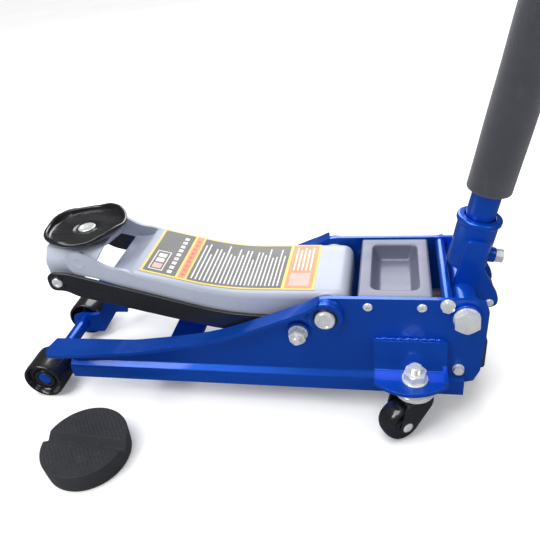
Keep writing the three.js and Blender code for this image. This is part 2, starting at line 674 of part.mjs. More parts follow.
function lockScrewBody() {
  const start = socket.radius + lockScrew.lugLength + gap;
  return join(
    rodX(lockScrew.radius, 0, lockScrew.along, socket.bore + gap, start + 1, fine),
    rodX(lockScrew.head, 0, lockScrew.along, start, start + lockScrew.headHeight, 6));
}

function tubeZ(radius, wall, z0, z1) {
  return cut(rodZ(radius, 0, 0, z0, z1), rodZ(radius - wall, 0, 0, z0 - 1, z1 + 1));
}

function gripBody() {
  const h = handle;
  return cut(
    turnedZ([[0, h.gripStart], [h.gripRadius, h.gripStart], [h.gripRadius, h.end - 4],
      [h.gripRadius - 4, h.end + h.capWall], [0, h.end + h.capWall]]),
    rodZ(h.radius + gap, 0, 0, h.gripStart - 1, h.end + gap));
}

// ---------- running gear ----------
function frontWheelBody(side) {
  const w = frontWheel;
  const out = side * w.outer;
  const innerEnd = side * (w.outer - w.width);
  const webOuter = w.outer - w.recess;
  const rim = rodY(w.radius, 0, axle.height, innerEnd, out, 24);
  const bore = w.radius - w.wall;
  return cut(rim,
    rodY(bore, 0, axle.height, side * webOuter, out + side, 24),
    rodY(bore, 0, axle.height, innerEnd - side, side * (webOuter - w.web), 24))
    .add(rodY(w.hubRadius, 0, axle.height, side * (webOuter - w.web - 12), side * (webOuter + w.hubProud)))
    .subtract(rodY(axle.radius + running, 0, axle.height, innerEnd - side, out + side));
}

// the fork, with its raceway, about its own stem; it trails along -X
function casterFork() {
  const c = caster;
  const top = c.forkTop;
  const race = rodZ(c.raceRadius, 0, 0, top, casterBracket.plateTop - casterBracket.wall - gap, 20);
  const crown = slabXY(outline([
    [-20, -c.cheekHalf, 6], [c.crownFront, -c.cheekHalf, 8], [c.crownFront, c.cheekHalf, 8],
    [-20, c.cheekHalf, 6],
  ]), top - c.forkWall, top + 1);
  const cheek = outline([
    [-c.trail - 11, c.radius - 7, 9], [-c.trail + 9, c.radius - 11, 9], [c.crownFront, top - 12, 6],
    [c.crownFront, top, 2], [-22, top, 2], [-24, top - 8, 6],
  ]);
  const cheeks = sides.map(([, side]) => slabXZ(cheek, side * (c.cheekHalf - c.forkWall),
    side * c.cheekHalf));
  return cut(join(race, crown, ...cheeks),
    rodZ(c.stem + running, 0, 0, top - 5, 90),
    rodY(c.axle + gap, -c.trail, c.radius, -30, 30, fine));
}

function casterWheel() {
  const c = caster;
  const half = c.width / 2;
  const profile = [
    [0, -half], [c.radius - 5, -half], [c.radius - 1.2, -half * 0.6], [c.radius, 0],
    [c.radius - 1.2, half * 0.6], [c.radius - 5, half], [0, half],
  ].map(([radius, y]) => new THREE.Vector2(radius, y));
  const geometry = new THREE.LatheGeometry(profile, 20);
  geometry.translate(-c.trail, 0, c.radius);
  return cut(toSolid(geometry), rodY(c.axle + running, -c.trail, c.radius, -30, 30, fine));
}

function casterAxle() {
  const c = caster;
  const end = c.cheekHalf + gap;
  return join(
    rodY(c.axle, -c.trail, c.radius, -end - 1, end + 1, fine),
    ...sides.map(([, side]) => rodY(c.axle + 1.8, -c.trail, c.radius, side * end, side * (end + 1.6), fine)));
}

function casterStem() {
  const c = caster;
  const plate = casterBracket.plateTop;
  return join(
    rodZ(c.stem, 0, 0, c.forkTop + 1, plate + c.nut + c.proud),
    rodZ(c.across / Math.sqrt(3), 0, 0, plate + gap, plate + gap + c.nut, 6));
}

function rubberPad() {
  const p = pad;
  const puck = turnedZ([
    [0, 0], [p.base, 0], [p.radius, p.height - 2], [p.radius - 1.5, p.height], [0, p.height],
  ], 32);
  const groove = slabYZ(outline([
    [-p.grooveHalf, p.height + 0.01], [0, p.height - p.grooveDepth], [p.grooveHalf, p.height + 0.01],
    [p.grooveHalf, p.height + 5], [-p.grooveHalf, p.height + 5],
  ]), -p.radius - 5, p.radius + 5);
  return cut(puck, groove);
}

// ---------- assembly ----------
const leanAngle = THREE.MathUtils.degToRad(socket.lean);

for (const [word, side] of sides) {
  add(`side_plate_${word}`, sidePlate(side), bluePaint);
  add(`caster_bracket_${word}`, casterBracketBody(side), bluePaint);
  add(`cross_rod_bolt_${word}`, boltY(side, crossRod.x, crossRod.z, rodBolt.radius, rodBolt.across,
    rodBolt.height, frame.halfWidth, inner + gap), zinc);
  add(`block_bolt_${word}`, boltY(side, blockBolt.x, blockBolt.z, blockBolt.radius, blockBolt.across,
    blockBolt.height, frame.halfWidth, inner - 14), zinc);
  add(`socket_bolt_${word}`, boltY(side, socket.x, socket.z, socketBolt.radius, socketBolt.across,
    socketBolt.height, frame.halfWidth + socketBolt.bossLength, inner - 30), zinc);
  add(`link_stud_${word}`, linkStud(side), zinc);
  add(`tray_screw_${word}_front`, trayScrewBody(side, trayScrew.x[0]), zinc);
  add(`tray_screw_${word}_rear`, trayScrewBody(side, trayScrew.x[1]), zinc);
  add(`link_bar_${word}`, linkBar(side), blackPaint);
  add(`pin_clip_${word}`, cut(
    rodY(clip.radius, linkFront.x, linkFront.z, side * (linkOuter + gap),
      side * (linkOuter + gap + clip.wall)),
    rodY(link.frontPin + gap, linkFront.x, linkFront.z, side * 50, side * 80)), blackPaint);
  add(`front_wheel_${word}`, frontWheelBody(side), blackPaint);
}

const beam = inner - gap;
add('front_axle', rodY(axle.radius, 0, axle.height, -axle.halfLength, axle.halfLength), bluePaint);
add('cross_tie_plate', box(crossTie.x0, crossTie.x1, -beam, beam, crossTie.bottom,
  crossTie.bottom + crossTie.wall), bluePaint);
add('rear_cross_rod', rodY(crossRod.radius, crossRod.x, crossRod.z, -beam, beam), bluePaint);
add('main_pivot_pin', rodY(pivot.radius, pivot.x, pivot.z, -pivot.halfLength, pivot.halfLength), zinc);
add('tool_tray', tray3d(), trayGrey);
add('pump_block', pumpBlock(), castIron);
add('ram_cylinder', ramCylinder(), steel);
add('oil_reservoir', oilReservoir(), castIron);
add('oil_filler_plug', fillerPlug(), blackPaint);
add('plunger_spring', plungerSpring(), steel);
add('pump_plunger', pumpPlunger(), steel);
add('release_valve', releaseValve(), steel);
add('ram_rod', ramRod(), steel);

add('lift_arm', liftArm(), greyPaint);
add('arm_label', labelSheet(), paper);
add('arm_front_pin', rodY(armPin.radius, arm.frontX, arm.frontZ, -arm.halfWidth, arm.halfWidth), greyPaint);
add('heel_pin', rodY(heel.pinRadius, heelPin.x, heelPin.z, -heel.halfWidth - 2, heel.halfWidth + 2), steel);
add('saddle_bracket', saddleBracket(), greyPaint);
add('link_front_pin', rodY(link.frontPin, linkFront.x, linkFront.z, -inner + running, inner - running), zinc);
add('saddle', saddleDish(), blackPaint);
add('saddle_bolt', saddleBoltBody(), zinc);

const leaning = new THREE.Group();
leaning.position.set(socket.x, 0, socket.z);
leaning.rotation.y = leanAngle;
jack.add(leaning);
const rollerAt = rollerAxis.clone().rotateAround(new THREE.Vector2(), leanAngle);
const pinHalf = socket.earInner + socket.earWall + 2;
add('handle_socket', handleSocket(), bluePaint, leaning);
add('handle_lock_screw', lockScrewBody(), zinc, leaning);
add('roller_pin', rodY(roller.pinRadius, rollerAt.x, rollerAt.y, -pinHalf, pinHalf, fine), zinc, leaning);
add('plunger_roller', cut(
  rodY(roller.radius, rollerAt.x, rollerAt.y, -roller.halfWidth, roller.halfWidth),
  rodY(roller.pinRadius + running, rollerAt.x, rollerAt.y, -30, 30, fine)), steel, leaning);
add('handle_lower_tube', tubeZ(handle.radius, handle.wall, handle.start, handle.joint), bluePaint, leaning);
add('handle_upper_tube', tubeZ(handle.radius, handle.wall, handle.joint + gap, handle.end),
  bluePaint, leaning);
add('foam_sleeve', tubeZ(handle.foamRadius, handle.foamRadius - handle.radius - gap,
  handle.foamStart, handle.foamEnd), foam, leaning);
add('handle_grip', gripBody(), rubber, leaning);

for (const [word, side] of sides) {
  const stem = new THREE.Group();
  stem.position.set(caster.x, side * caster.y, 0);
  jack.add(stem);
  add(`caster_stem_${word}`, casterStem(), zinc, stem);
  const swivel = new THREE.Group();
  swivel.rotation.z = THREE.MathUtils.degToRad(-side * caster.yaw);
  stem.add(swivel);
  add(`caster_fork_${word}`, casterFork(), blackPaint, swivel);
  add(`caster_wheel_${word}`, casterWheel(), blackPaint, swivel);
  add(`caster_axle_${word}`, casterAxle(), zinc, swivel);
}

const padPlace = new THREE.Group();
padPlace.position.set(pad.x, pad.y, 0);
padPlace.rotation.z = THREE.MathUtils.degToRad(pad.turn);
jack.add(padPlace);
add('rubber_pad', rubberPad(), rubber, padPlace);

const bounds = new THREE.Box3().setFromObject(jack, true);
const middle = bounds.getCenter(new THREE.Vector3());
const whole = new THREE.Group();
jack.position.set(-middle.x, -middle.y, -bounds.min.z);
whole.add(jack);

export default whole;
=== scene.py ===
import json
import math

import bmesh
import bpy
from mathutils import Matrix, Vector

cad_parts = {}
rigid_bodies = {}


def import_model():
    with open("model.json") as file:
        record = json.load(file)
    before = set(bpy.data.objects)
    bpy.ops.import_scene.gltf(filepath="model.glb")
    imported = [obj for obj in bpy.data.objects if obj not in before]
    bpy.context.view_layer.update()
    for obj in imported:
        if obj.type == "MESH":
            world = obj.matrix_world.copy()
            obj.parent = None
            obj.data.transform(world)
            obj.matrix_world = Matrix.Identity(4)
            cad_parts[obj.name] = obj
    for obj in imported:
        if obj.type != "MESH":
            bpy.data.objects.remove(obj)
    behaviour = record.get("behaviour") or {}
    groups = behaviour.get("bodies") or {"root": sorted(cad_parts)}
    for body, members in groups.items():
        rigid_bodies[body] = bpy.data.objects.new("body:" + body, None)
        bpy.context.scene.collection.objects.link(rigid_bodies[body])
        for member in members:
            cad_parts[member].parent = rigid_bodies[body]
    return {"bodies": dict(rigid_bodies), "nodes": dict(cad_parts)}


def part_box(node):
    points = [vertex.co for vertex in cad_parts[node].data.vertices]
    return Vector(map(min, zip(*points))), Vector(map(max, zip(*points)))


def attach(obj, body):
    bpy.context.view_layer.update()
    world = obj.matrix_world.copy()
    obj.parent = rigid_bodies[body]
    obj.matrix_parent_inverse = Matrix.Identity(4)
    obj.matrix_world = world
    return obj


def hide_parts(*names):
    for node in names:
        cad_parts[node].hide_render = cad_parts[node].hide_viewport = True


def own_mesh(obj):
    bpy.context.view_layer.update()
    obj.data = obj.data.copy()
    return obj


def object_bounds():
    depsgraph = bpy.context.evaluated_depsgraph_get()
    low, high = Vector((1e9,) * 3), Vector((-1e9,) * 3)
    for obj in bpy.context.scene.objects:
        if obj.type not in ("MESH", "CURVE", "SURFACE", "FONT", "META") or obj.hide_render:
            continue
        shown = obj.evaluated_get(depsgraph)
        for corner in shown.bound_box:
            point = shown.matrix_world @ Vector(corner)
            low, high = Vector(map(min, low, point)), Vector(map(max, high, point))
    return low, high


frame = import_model()
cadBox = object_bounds()
bodies = frame["bodies"]
nodes = frame["nodes"]

# every length below is in millimetres from the floor under the middle of the front axle
mm = 0.001
axleLow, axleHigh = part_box("front_axle")
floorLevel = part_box("front_wheel_left")[0].z
origin = Vector(((axleLow.x + axleHigh.x) / 2, (axleLow.y + axleHigh.y) / 2, floorLevel))
sides = [("left", -1), ("right", 1)]


def boxOf(node):
    low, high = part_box(node)
    return (low - origin) / mm, (high - origin) / mm


def middleOf(node):
    low, high = boxOf(node)
    return (low + high) / 2


# finishes

class Nodes:
    # a material's node tree, with short calls for the nodes used here
    def __init__(self, name):
        self.material = bpy.data.materials.new(name)
        self.material.use_nodes = True
        self.tree = self.material.node_tree
        self.shader = self.tree.nodes["Principled BSDF"]
        self.place = self.add("ShaderNodeTexCoord").outputs["Object"]

    def add(self, kind, **settings):
        node = self.tree.nodes.new(kind)
        for key, value in settings.items():
            setattr(node, key, value)
        return node

    def link(self, source, target):
        self.tree.links.new(source, target)

    def stretched(self, scale):
        node = self.add("ShaderNodeMapping")
        node.inputs["Scale"].default_value = scale
        self.link(self.place, node.inputs["Vector"])
        return node.outputs["Vector"]

    def noise(self, scale, detail=3.0, place=None, rough=0.5):
        node = self.add("ShaderNodeTexNoise")
        node.inputs["Scale"].default_value = scale
        node.inputs["Detail"].default_value = detail
        node.inputs["Roughness"].default_value = rough
        self.link(place or self.place, node.inputs["Vector"])
        return node.outputs["Fac"]

    def cells(self, scale, place=None):
        node = self.add("ShaderNodeTexVoronoi")
        node.inputs["Scale"].default_value = scale
        self.link(place or self.place, node.inputs["Vector"])
        return node.outputs["Distance"]

    def ramp(self, value, low, high, start=0.0, end=1.0):
        node = self.add("ShaderNodeMapRange")
        node.inputs["From Min"].default_value = low
        node.inputs["From Max"].default_value = high
        node.inputs["To Min"].default_value = start
        node.inputs["To Max"].default_value = end
        self.link(value, node.inputs["Value"])
        return node.outputs["Result"]

    def mix(self, factor, first, second):
        node = self.add("ShaderNodeMix", data_type="RGBA")
        self.link(factor, node.inputs["Factor"])
        for socket, value in ((node.inputs[6], first), (node.inputs[7], second)):
            if isinstance(value, tuple):
                socket.default_value = (*value, 1.0)
            else:
                self.link(value, socket)
        return node.outputs[2]

    def times(self, first, second):
        node = self.add("ShaderNodeMath", operation="MULTIPLY")
        self.link(first, node.inputs[0])
        if isinstance(second, float):
            node.inputs[1].default_value = second
        else:
            self.link(second, node.inputs[1])
        return node.outputs[0]

    # 1 on outer edges and corners, 0 on open faces
    def edges(self, radius):
        soft = self.add("ShaderNodeBevel", samples=4)
        soft.inputs["Radius"].default_value = radius
        hard = self.add("ShaderNodeNewGeometry")
        dot = self.add("ShaderNodeVectorMath", operation="DOT_PRODUCT")
        self.link(soft.outputs["Normal"], dot.inputs[0])
        self.link(hard.outputs["Normal"], dot.inputs[1])
        return self.ramp(dot.outputs["Value"], 0.98, 0.75)

    def bump(self, height, distance, strength=1.0, under=None):
        node = self.add("ShaderNodeBump")
        node.inputs["Strength"].default_value = strength
        node.inputs["Distance"].default_value = distance
        self.link(height, node.inputs["Height"])
        if under is not None:
            self.link(under, node.inputs["Normal"])
        return node.outputs["Normal"]

    def set(self, **values):
        for key, value in values.items():
            self.shader.inputs[key.replace("_", " ")].default_value = value

    def wire(self, name, source):
        self.link(source, self.shader.inputs[name])


def paintFinish(name, look):
    n = Nodes(name)
    n.set(Metallic=look["metal"], Coat_Weight=look["coat"], Coat_Roughness=look["coatRough"])
    cloudy = n.ramp(n.noise(look["cloud"], 4.0), 0.3, 0.7)
    colour = n.mix(cloudy, look["colour"], look["shade"])
    dirt = n.ramp(n.noise(look["dirt"], 6.0, rough=0.7), 0.58, 0.8, 0.0, look["dirtAmount"])
    colour = n.mix(dirt, colour, look["dirtColour"])
    worn = n.times(n.edges(look["edge"]), n.ramp(n.noise(90.0, 5.0, rough=0.7), 0.5, 0.62))
    colour = n.mix(n.times(worn, look["wear"]), colour, look["bare"])
    n.wire("Base Color", colour)
    streaks = n.noise(14.0, 6.0, n.stretched((0.35, 3.0, 3.0)), 0.65)
    low, high = look["rough"]
    n.wire("Roughness", n.ramp(streaks, 0.3, 0.7, low, high))
    peel = n.bump(n.noise(look["peel"], 2.0), look["peelDepth"], 0.5)
    n.wire("Normal", n.bump(n.noise(look["ripple"], 1.0), look["rippleDepth"], 0.5, peel))
    return n.material


blueLook = dict(
    colour=(0.002, 0.100, 0.66), shade=(0.0015, 0.080, 0.54), metal=0.6, coat=0.6, coatRough=0.05,
    cloud=7.0, dirt=26.0, dirtAmount=0.12, dirtColour=(0.06, 0.09, 0.2), edge=0.0012, wear=0.35,
    bare=(0.16, 0.27, 0.62), rough=(0.26, 0.40), peel=420.0, peelDepth=0.00012,
    ripple=30.0, rippleDepth=0.0009,
)
armLook = dict(
    colour=(0.44, 0.475, 0.575), shade=(0.395, 0.43, 0.525), metal=0.05, coat=0.15, coatRough=0.2,
    cloud=9.0, dirt=40.0, dirtAmount=0.16, dirtColour=(0.40, 0.40, 0.44), edge=0.0012, wear=0.5,
    bare=(0.76, 0.77, 0.80), rough=(0.34, 0.46), peel=500.0, peelDepth=0.00012,
    ripple=40.0, rippleDepth=0.0005,
)
blackLook = dict(
    colour=(0.012, 0.012, 0.014), shade=(0.020, 0.020, 0.023), metal=0.15, coat=0.8, coatRough=0.08,
    cloud=11.0, dirt=34.0, dirtAmount=0.16, dirtColour=(0.07, 0.06, 0.055), edge=0.0010, wear=0.4,
    bare=(0.14, 0.13, 0.12), rough=(0.22, 0.36), peel=450.0, peelDepth=0.00012,
    ripple=36.0, rippleDepth=0.0006,
)
trayLook = dict(
    colour=(0.165, 0.175, 0.25), shade=(0.14, 0.15, 0.22), metal=0.2, coat=0.25, coatRough=0.2,
    cloud=10.0, dirt=40.0, dirtAmount=0.2, dirtColour=(0.12, 0.12, 0.14), edge=0.0010, wear=0.5,
    bare=(0.42, 0.43, 0.48), rough=(0.34, 0.48), peel=460.0, peelDepth=0.00015,
    ripple=30.0, rippleDepth=0.0005,
)
enamelLook = dict(
    colour=(0.010, 0.010, 0.012), shade=(0.016, 0.016, 0.018), metal=0.1, coat=1.0, coatRough=0.06,
    cloud=14.0, dirt=50.0, dirtAmount=0.14, dirtColour=(0.05, 0.045, 0.04), edge=0.0012, wear=0.3,
    bare=(0.10, 0.10, 0.10), rough=(0.20, 0.34), peel=300.0, peelDepth=0.0002,
    ripple=60.0, rippleDepth=0.0006,
)
forkLook = dict(
    colour=(0.024, 0.024, 0.028), shade=(0.034, 0.034, 0.038), metal=0.4, coat=0.4, coatRough=0.2,
    cloud=16.0, dirt=44.0, dirtAmount=0.25, dirtColour=(0.09, 0.085, 0.08), edge=0.0010, wear=0.6,
    bare=(0.20, 0.20, 0.20), rough=(0.30, 0.46), peel=400.0, peelDepth=0.00015,
    ripple=50.0, rippleDepth=0.0004,
)
castLook = dict(
    colour=(0.040, 0.042, 0.050), shade=(0.060, 0.062, 0.070), metal=0.3, coat=0.2, coatRough=0.3,
    cloud=18.0, dirt=30.0, dirtAmount=0.35, dirtColour=(0.10, 0.09, 0.08), edge=0.0015, wear=0.5,
    bare=(0.22, 0.22, 0.22), rough=(0.42, 0.6), peel=260.0, peelDepth=0.0006,
    ripple=50.0, rippleDepth=0.0006,
)


def platedFinish(name, look):
    n = Nodes(name)
    n.set(Metallic=look["metal"])
    patch = n.ramp(n.noise(look["cloud"], 5.0, rough=0.6), 0.35, 0.65)
    colour = n.mix(patch, look["colour"], look["shade"])
    stain = n.ramp(n.noise(140.0, 6.0, rough=0.7), 0.6, 0.8, 0.0, 0.5)
    n.wire("Base Color", n.mix(stain, colour, look["stain"]))
    lines = n.noise(look["lineScale"], 2.0, n.stretched(look["lineStretch"]), 0.6)
    low, high = look["rough"]
    n.wire("Roughness", n.ramp(lines, 0.3, 0.7, low, high))
    n.wire("Normal", n.bump(lines, look["lineDepth"], 0.4))
    return n.material


zincLook = dict(
    colour=(0.93, 0.94, 0.92), shade=(0.84, 0.87, 0.87), stain=(0.80, 0.79, 0.75), cloud=60.0, metal=0.5,
    rough=(0.16, 0.28), lineScale=260.0, lineStretch=(1.0, 0.2, 1.0), lineDepth=0.00002,
)
steelLook = dict(
    colour=(0.50, 0.51, 0.53), shade=(0.42, 0.43, 0.45), stain=(0.25, 0.22, 0.19), cloud=50.0, metal=0.9,
    rough=(0.18, 0.34), lineScale=300.0, lineStretch=(0.15, 1.0, 1.0), lineDepth=0.00006,
)


def softFinish(name, look):
    n = Nodes(name)
    n.set(Sheen_Weight=look["sheen"], Sheen_Roughness=0.6, Specular_IOR_Level=look["shine"])
    patch = n.ramp(n.noise(look["cloud"], 4.0), 0.3, 0.7)
    colour = n.mix(patch, look["colour"], look["shade"])
    scuff = n.ramp(n.noise(70.0, 6.0, n.stretched((1.0, 1.0, 0.25)), 0.7), 0.56, 0.75, 0.0, look["scuff"])
    colour = n.mix(scuff, colour, look["scuffColour"])
    # the pore hollows, where the bump below sinks, get a darker colour mixed in: painted shade in the pores
    cell = n.cells(look["cell"])
    n.wire("Base Color", n.mix(n.ramp(cell, 0.0, 0.5, 0.25, 0.0), colour, look["paintedPoreShade"]))
    low, high = look["rough"]
    n.wire("Roughness", n.ramp(n.noise(60.0, 4.0), 0.3, 0.7, low, high))
    pores = n.bump(cell, look["cellDepth"], 0.6)
    n.wire("Normal", n.bump(n.noise(look["dent"], 3.0), look["dentDepth"], 0.6, pores))
    return n.material


# the darkest colour in each soft look is mixed into the pore hollows as painted shade
foamLook = dict(
    colour=(0.042, 0.045, 0.058), shade=(0.033, 0.035, 0.046), scuff=0.3, scuffColour=(0.09, 0.09, 0.11),
    paintedPoreShade=(0.022, 0.023, 0.028), sheen=0.25, shine=0.25, cloud=16.0, cell=850.0, cellDepth=0.0005,
    dent=34.0, dentDepth=0.0016, rough=(0.78, 0.9),
)
gripLook = dict(
    colour=(0.035, 0.035, 0.040), shade=(0.045, 0.045, 0.050), scuff=0.3, scuffColour=(0.09, 0.09, 0.10),
    paintedPoreShade=(0.018, 0.018, 0.020), sheen=0.15, shine=0.4, cloud=22.0, cell=600.0, cellDepth=0.0003,
    dent=90.0, dentDepth=0.0004, rough=(0.5, 0.66),
)
padLook = dict(
    colour=(0.022, 0.023, 0.029), shade=(0.030, 0.031, 0.037), scuff=0.35, scuffColour=(0.07, 0.07, 0.075),
    paintedPoreShade=(0.006, 0.006, 0.008), sheen=0.04, shine=0.3, cloud=20.0, cell=900.0, cellDepth=0.00025,
    dent=110.0, dentDepth=0.0003, rough=(0.58, 0.74),
)


def filmFinish(name, colour, shade, rough=(0.30, 0.42)):
    n = Nodes(name)
    n.set(Coat_Weight=0.4, Coat_Roughness=0.12)
    patch = n.ramp(n.noise(55.0, 5.0, rough=0.65), 0.35, 0.65)
    colour = n.mix(patch, colour, shade)
    rub = n.ramp(n.noise(180.0, 6.0, rough=0.75), 0.62, 0.8, 0.0, 0.35)
    n.wire("Base Color", n.mix(rub, colour, (0.5, 0.5, 0.5)))
    n.wire("Roughness", n.ramp(n.noise(30.0, 4.0), 0.3, 0.7, *rough))
    n.wire("Normal", n.bump(n.noise(60.0, 2.0), 0.0002, 0.4))
    return n.material


finishes = {
    "blue_paint": paintFinish("blueEnamel", blueLook),
    "arm_paint": paintFinish("greyArmPaint", armLook),
    "black_paint": paintFinish("blackPaint", blackLook),
    "zinc_plate": platedFinish("zincPlate", zincLook),
    "tray_paint": paintFinish("trayPaint", trayLook),
    "cast_body": paintFinish("darkCasting", castLook),
    "ground_steel": platedFinish("groundSteel", steelLook),
    "wheel_enamel": paintFinish("wheelEnamel", enamelLook),
    "fork_paint": paintFinish("forkPaint", forkLook),
    "foam_sleeve": softFinish("closedCellFoam", foamLook),
    "grip_rubber": softFinish("gripRubber", gripLook),
    "pad_rubber": softFinish("padRubber", padLook),
    "label_film": filmFinish("labelBlack", (0.012, 0.012, 0.013), (0.022, 0.022, 0.024)),
}
labelInks = {
    "yellow": filmFinish("labelYellow", (0.72, 0.52, 0.04), (0.66, 0.46, 0.03)),
    "orange": filmFinish("labelOrange", (0.70, 0.20, 0.02), (0.62, 0.16, 0.02)),
    "white": filmFinish("labelWhite", (0.70, 0.70, 0.68), (0.60, 0.60, 0.58)),
    "red": filmFinish("labelRed", (0.62, 0.045, 0.015), (0.54, 0.035, 0.012)),
    "pink": filmFinish("labelPink", (0.72, 0.36, 0.30), (0.66, 0.30, 0.26)),
}
print("finishes made:", len(finishes) + len(labelInks))


# shape tools: each gives a list of points and a list of faces

def soften(corners, closed=True, steps=5):
    # corners are (x, y, radius), and each becomes a short curve
    made = []
    count = len(corners)
    for i, (x, y, radius) in enumerate(corners):
        here = Vector((x, y))
        if radius <= 0 or (not closed and i in (0, count - 1)):
            made.append(here)
            continue
        before = Vector(corners[i - 1][:2]) - here
        after = Vector(corners[(i + 1) % count][:2]) - here
        reach = min(radius, 0.48 * before.length, 0.48 * after.length)
        start = here + before.normalized() * reach
        end = here + after.normalized() * reach
        for k in range(steps + 1):
            t = k / steps
            made.append(start * (1 - t) ** 2 + here * 2 * t * (1 - t) + end * t * t)
    return made


def rounded(corners):
    # an open run of corners, softened, as plain pairs for a turned profile
    return [tuple(point) for point in soften(corners, closed=False)]


def turned(profile, base, axis, steps=72, wave=None):
    # (radius, along) points turned about an axis through base; one that starts off the axis is a ring
    axis = Vector(axis).normalized()
    across = Vector((0, 1, 0)) if abs(axis.y) < 0.9 else Vector((1, 0, 0))
    across = (across - axis * across.dot(axis)).normalized()
    up = axis.cross(across)
    base = Vector(base)
    rows = len(profile)
    points = []
    for row, (radius, along) in enumerate(profile):
        for k in range(steps):
            angle = 2 * math.pi * k / steps
            r, a = wave(radius, along, angle) if wave else (radius, along)
            points.append(base + axis * a + (across * math.cos(angle) + up * math.sin(angle)) * r)
    ring = profile[0][0] > 0 and profile[-1][0] > 0
    faces = []
    for row in range(rows if ring else rows - 1):
        for k in range(steps):
            a, b = row * steps + k, row * steps + (k + 1) % steps
            c, d = ((row + 1) % rows) * steps + (k + 1) % steps, ((row + 1) % rows) * steps + k
            faces.append((a, b, c, d))
    return points, faces


def softRod(radius, start, end, edge, hollow=0.0):
    # a turned rod's profile with rounded ends
    if hollow:
        return [tuple(p) for p in soften([
            (hollow, start, edge), (radius, start, edge), (radius, end, edge), (hollow, end, edge)], steps=3)]
    return [tuple(p) for p in soften([
        (0, start, 0), (radius, start, edge), (radius, end, edge), (0, end, 0)], closed=False, steps=3)]


def hexHead(across, height, base, axis, turn=0.0, chamfer=0.5):
    steps = 72
    flat = across / 2

    def corner(radius, along, angle):
        if radius < 2:
            return radius, along
        local = (angle + turn) % (math.pi / 3) - math.pi / 6
        reach = flat / math.cos(local)
        if radius == 2:
            return reach, along
        if radius == 3:
            return reach, height - (reach - flat) * chamfer
        return flat * 0.985, height
    profile = [(0, 0), (2, 0), (3, 0), (4, 0), (0, height)]
    return turned(profile, base, axis, steps, corner)


def slab(outline, low, high, plane="xz"):
    # a closed outline pushed between two depths
    count = len(outline)
    points = []
    for depth in (low, high):
        for u, v in outline:
            points.append({"xz": (u, depth, v), "xy": (u, v, depth), "yz": (depth, u, v)}[plane])
    faces = [tuple(range(count)), tuple(range(2 * count - 1, count - 1, -1))]
    for k in range(count):
        j = (k + 1) % count
        faces.append((k, j, count + j, count + k))
    return points, faces


def swept(path, section, capped=True):
    # a closed section of (across, lift) points along a path of (x, z) points
    points = []
    for i, here in enumerate(path):
        along = (path[min(i + 1, len(path) - 1)] - path[max(i - 1, 0)]).normalized()
        lift = Vector((-along.y, along.x))
        for across, rise in section:
            points.append((here.x + lift.x * rise, across, here.y + lift.y * rise))
    count = len(section)
    faces = []
    for i in range(len(path) - 1):
        for k in range(count):
            j = (k + 1) % count
            faces.append((i * count + k, i * count + j, (i + 1) * count + j, (i + 1) * count + k))
    if capped:
        last = (len(path) - 1) * count
        faces += [tuple(range(count)), tuple(range(last + count - 1, last - 1, -1))]
    return points, faces


def tube(route, radius, steps=10, closed=False):
    # a round wire along a list of points
    points = []
    count = len(route)
    normal = Vector((0, 0, 1))
    for i, here in enumerate(route):
        ahead = route[(i + 1) % count] if closed or i + 1 < count else here
        behind = route[i - 1] if closed or i else here
        along = (Vector(ahead) - Vector(behind)).normalized()
        side = along.cross(normal)
        side = side.normalized() if side.length > 0.05 else along.orthogonal().normalized()
        up = side.cross(along)
        wide = radius(i / max(count - 1, 1)) if callable(radius) else radius
        for k in range(steps):
            angle = 2 * math.pi * k / steps
            points.append(Vector(here) + (side * math.cos(angle) + up * math.sin(angle)) * wide)
    faces = []
    for i in range(count if closed else count - 1):
        j = (i + 1) % count
        for k in range(steps):
            m = (k + 1) % steps
            faces.append((i * steps + k, i * steps + m, j * steps + m, j * steps + k))
    if not closed:
        last = (count - 1) * steps
        faces += [tuple(range(steps)), tuple(range(last + steps - 1, last - 1, -1))]
    return points, faces


def makePiece(name, slot, body, shapes, replaces=(), bevel=0.0, sharp=38, material=None):
    mesh = bpy.data.meshes.new(name)
    points, faces = [], []
    for shapePoints, shapeFaces in shapes:
        start = len(points)
        points += [origin + Vector(p) * mm for p in shapePoints]
        faces += [tuple(i + start for i in face) for face in shapeFaces]
    mesh.from_pydata(points, [], faces)
    build = bmesh.new()
    build.from_mesh(mesh)
    bmesh.ops.remove_doubles(build, verts=build.verts, dist=2e-6)
    bmesh.ops.dissolve_degenerate(build, edges=build.edges, dist=1e-6)
    bmesh.ops.recalc_face_normals(build, faces=build.faces)
    for face in build.faces:
        face.smooth = True
    for edge in build.edges:
        edge.smooth = len(edge.link_faces) == 2 and edge.calc_face_angle() < math.radians(sharp)
    build.to_mesh(mesh)
    build.free()
    piece = bpy.data.objects.new(name, mesh)
    bpy.context.scene.collection.objects.link(piece)
    mesh.materials.append(material or finishes[slot])
    if bevel:
        rounding = piece.modifiers.new("rounding", "BEVEL")
        rounding.width = bevel * mm
        rounding.segments = 3
        rounding.limit_method = "ANGLE"
        rounding.angle_limit = math.radians(40)
        rounding.harden_normals = True
        for edge in mesh.edges:
            edge.use_edge_sharp = False
    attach(piece, body)
    if replaces:
        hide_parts(*replaces)
    return piece


def dressNode(name, slot, bevel=0.9):
    # a CAD node that stays gets its finish, welded corners and rolled edges
    node = nodes[name]
    node.data.materials.clear()
    node.data.materials.append(finishes[slot])
    own = node.data.attributes.get("custom_normal")
    if own:
        node.data.attributes.remove(own)
    node.data.shade_smooth()
    weld = node.modifiers.new("weld", "WELD")
    weld.merge_threshold = 0.00002
    rounding = node.modifiers.new("rounding", "BEVEL")
    rounding.width = bevel * mm
    rounding.segments = 3
    rounding.limit_method = "ANGLE"
    rounding.angle_limit = math.radians(38)
    rounding.harden_normals = True
    return node


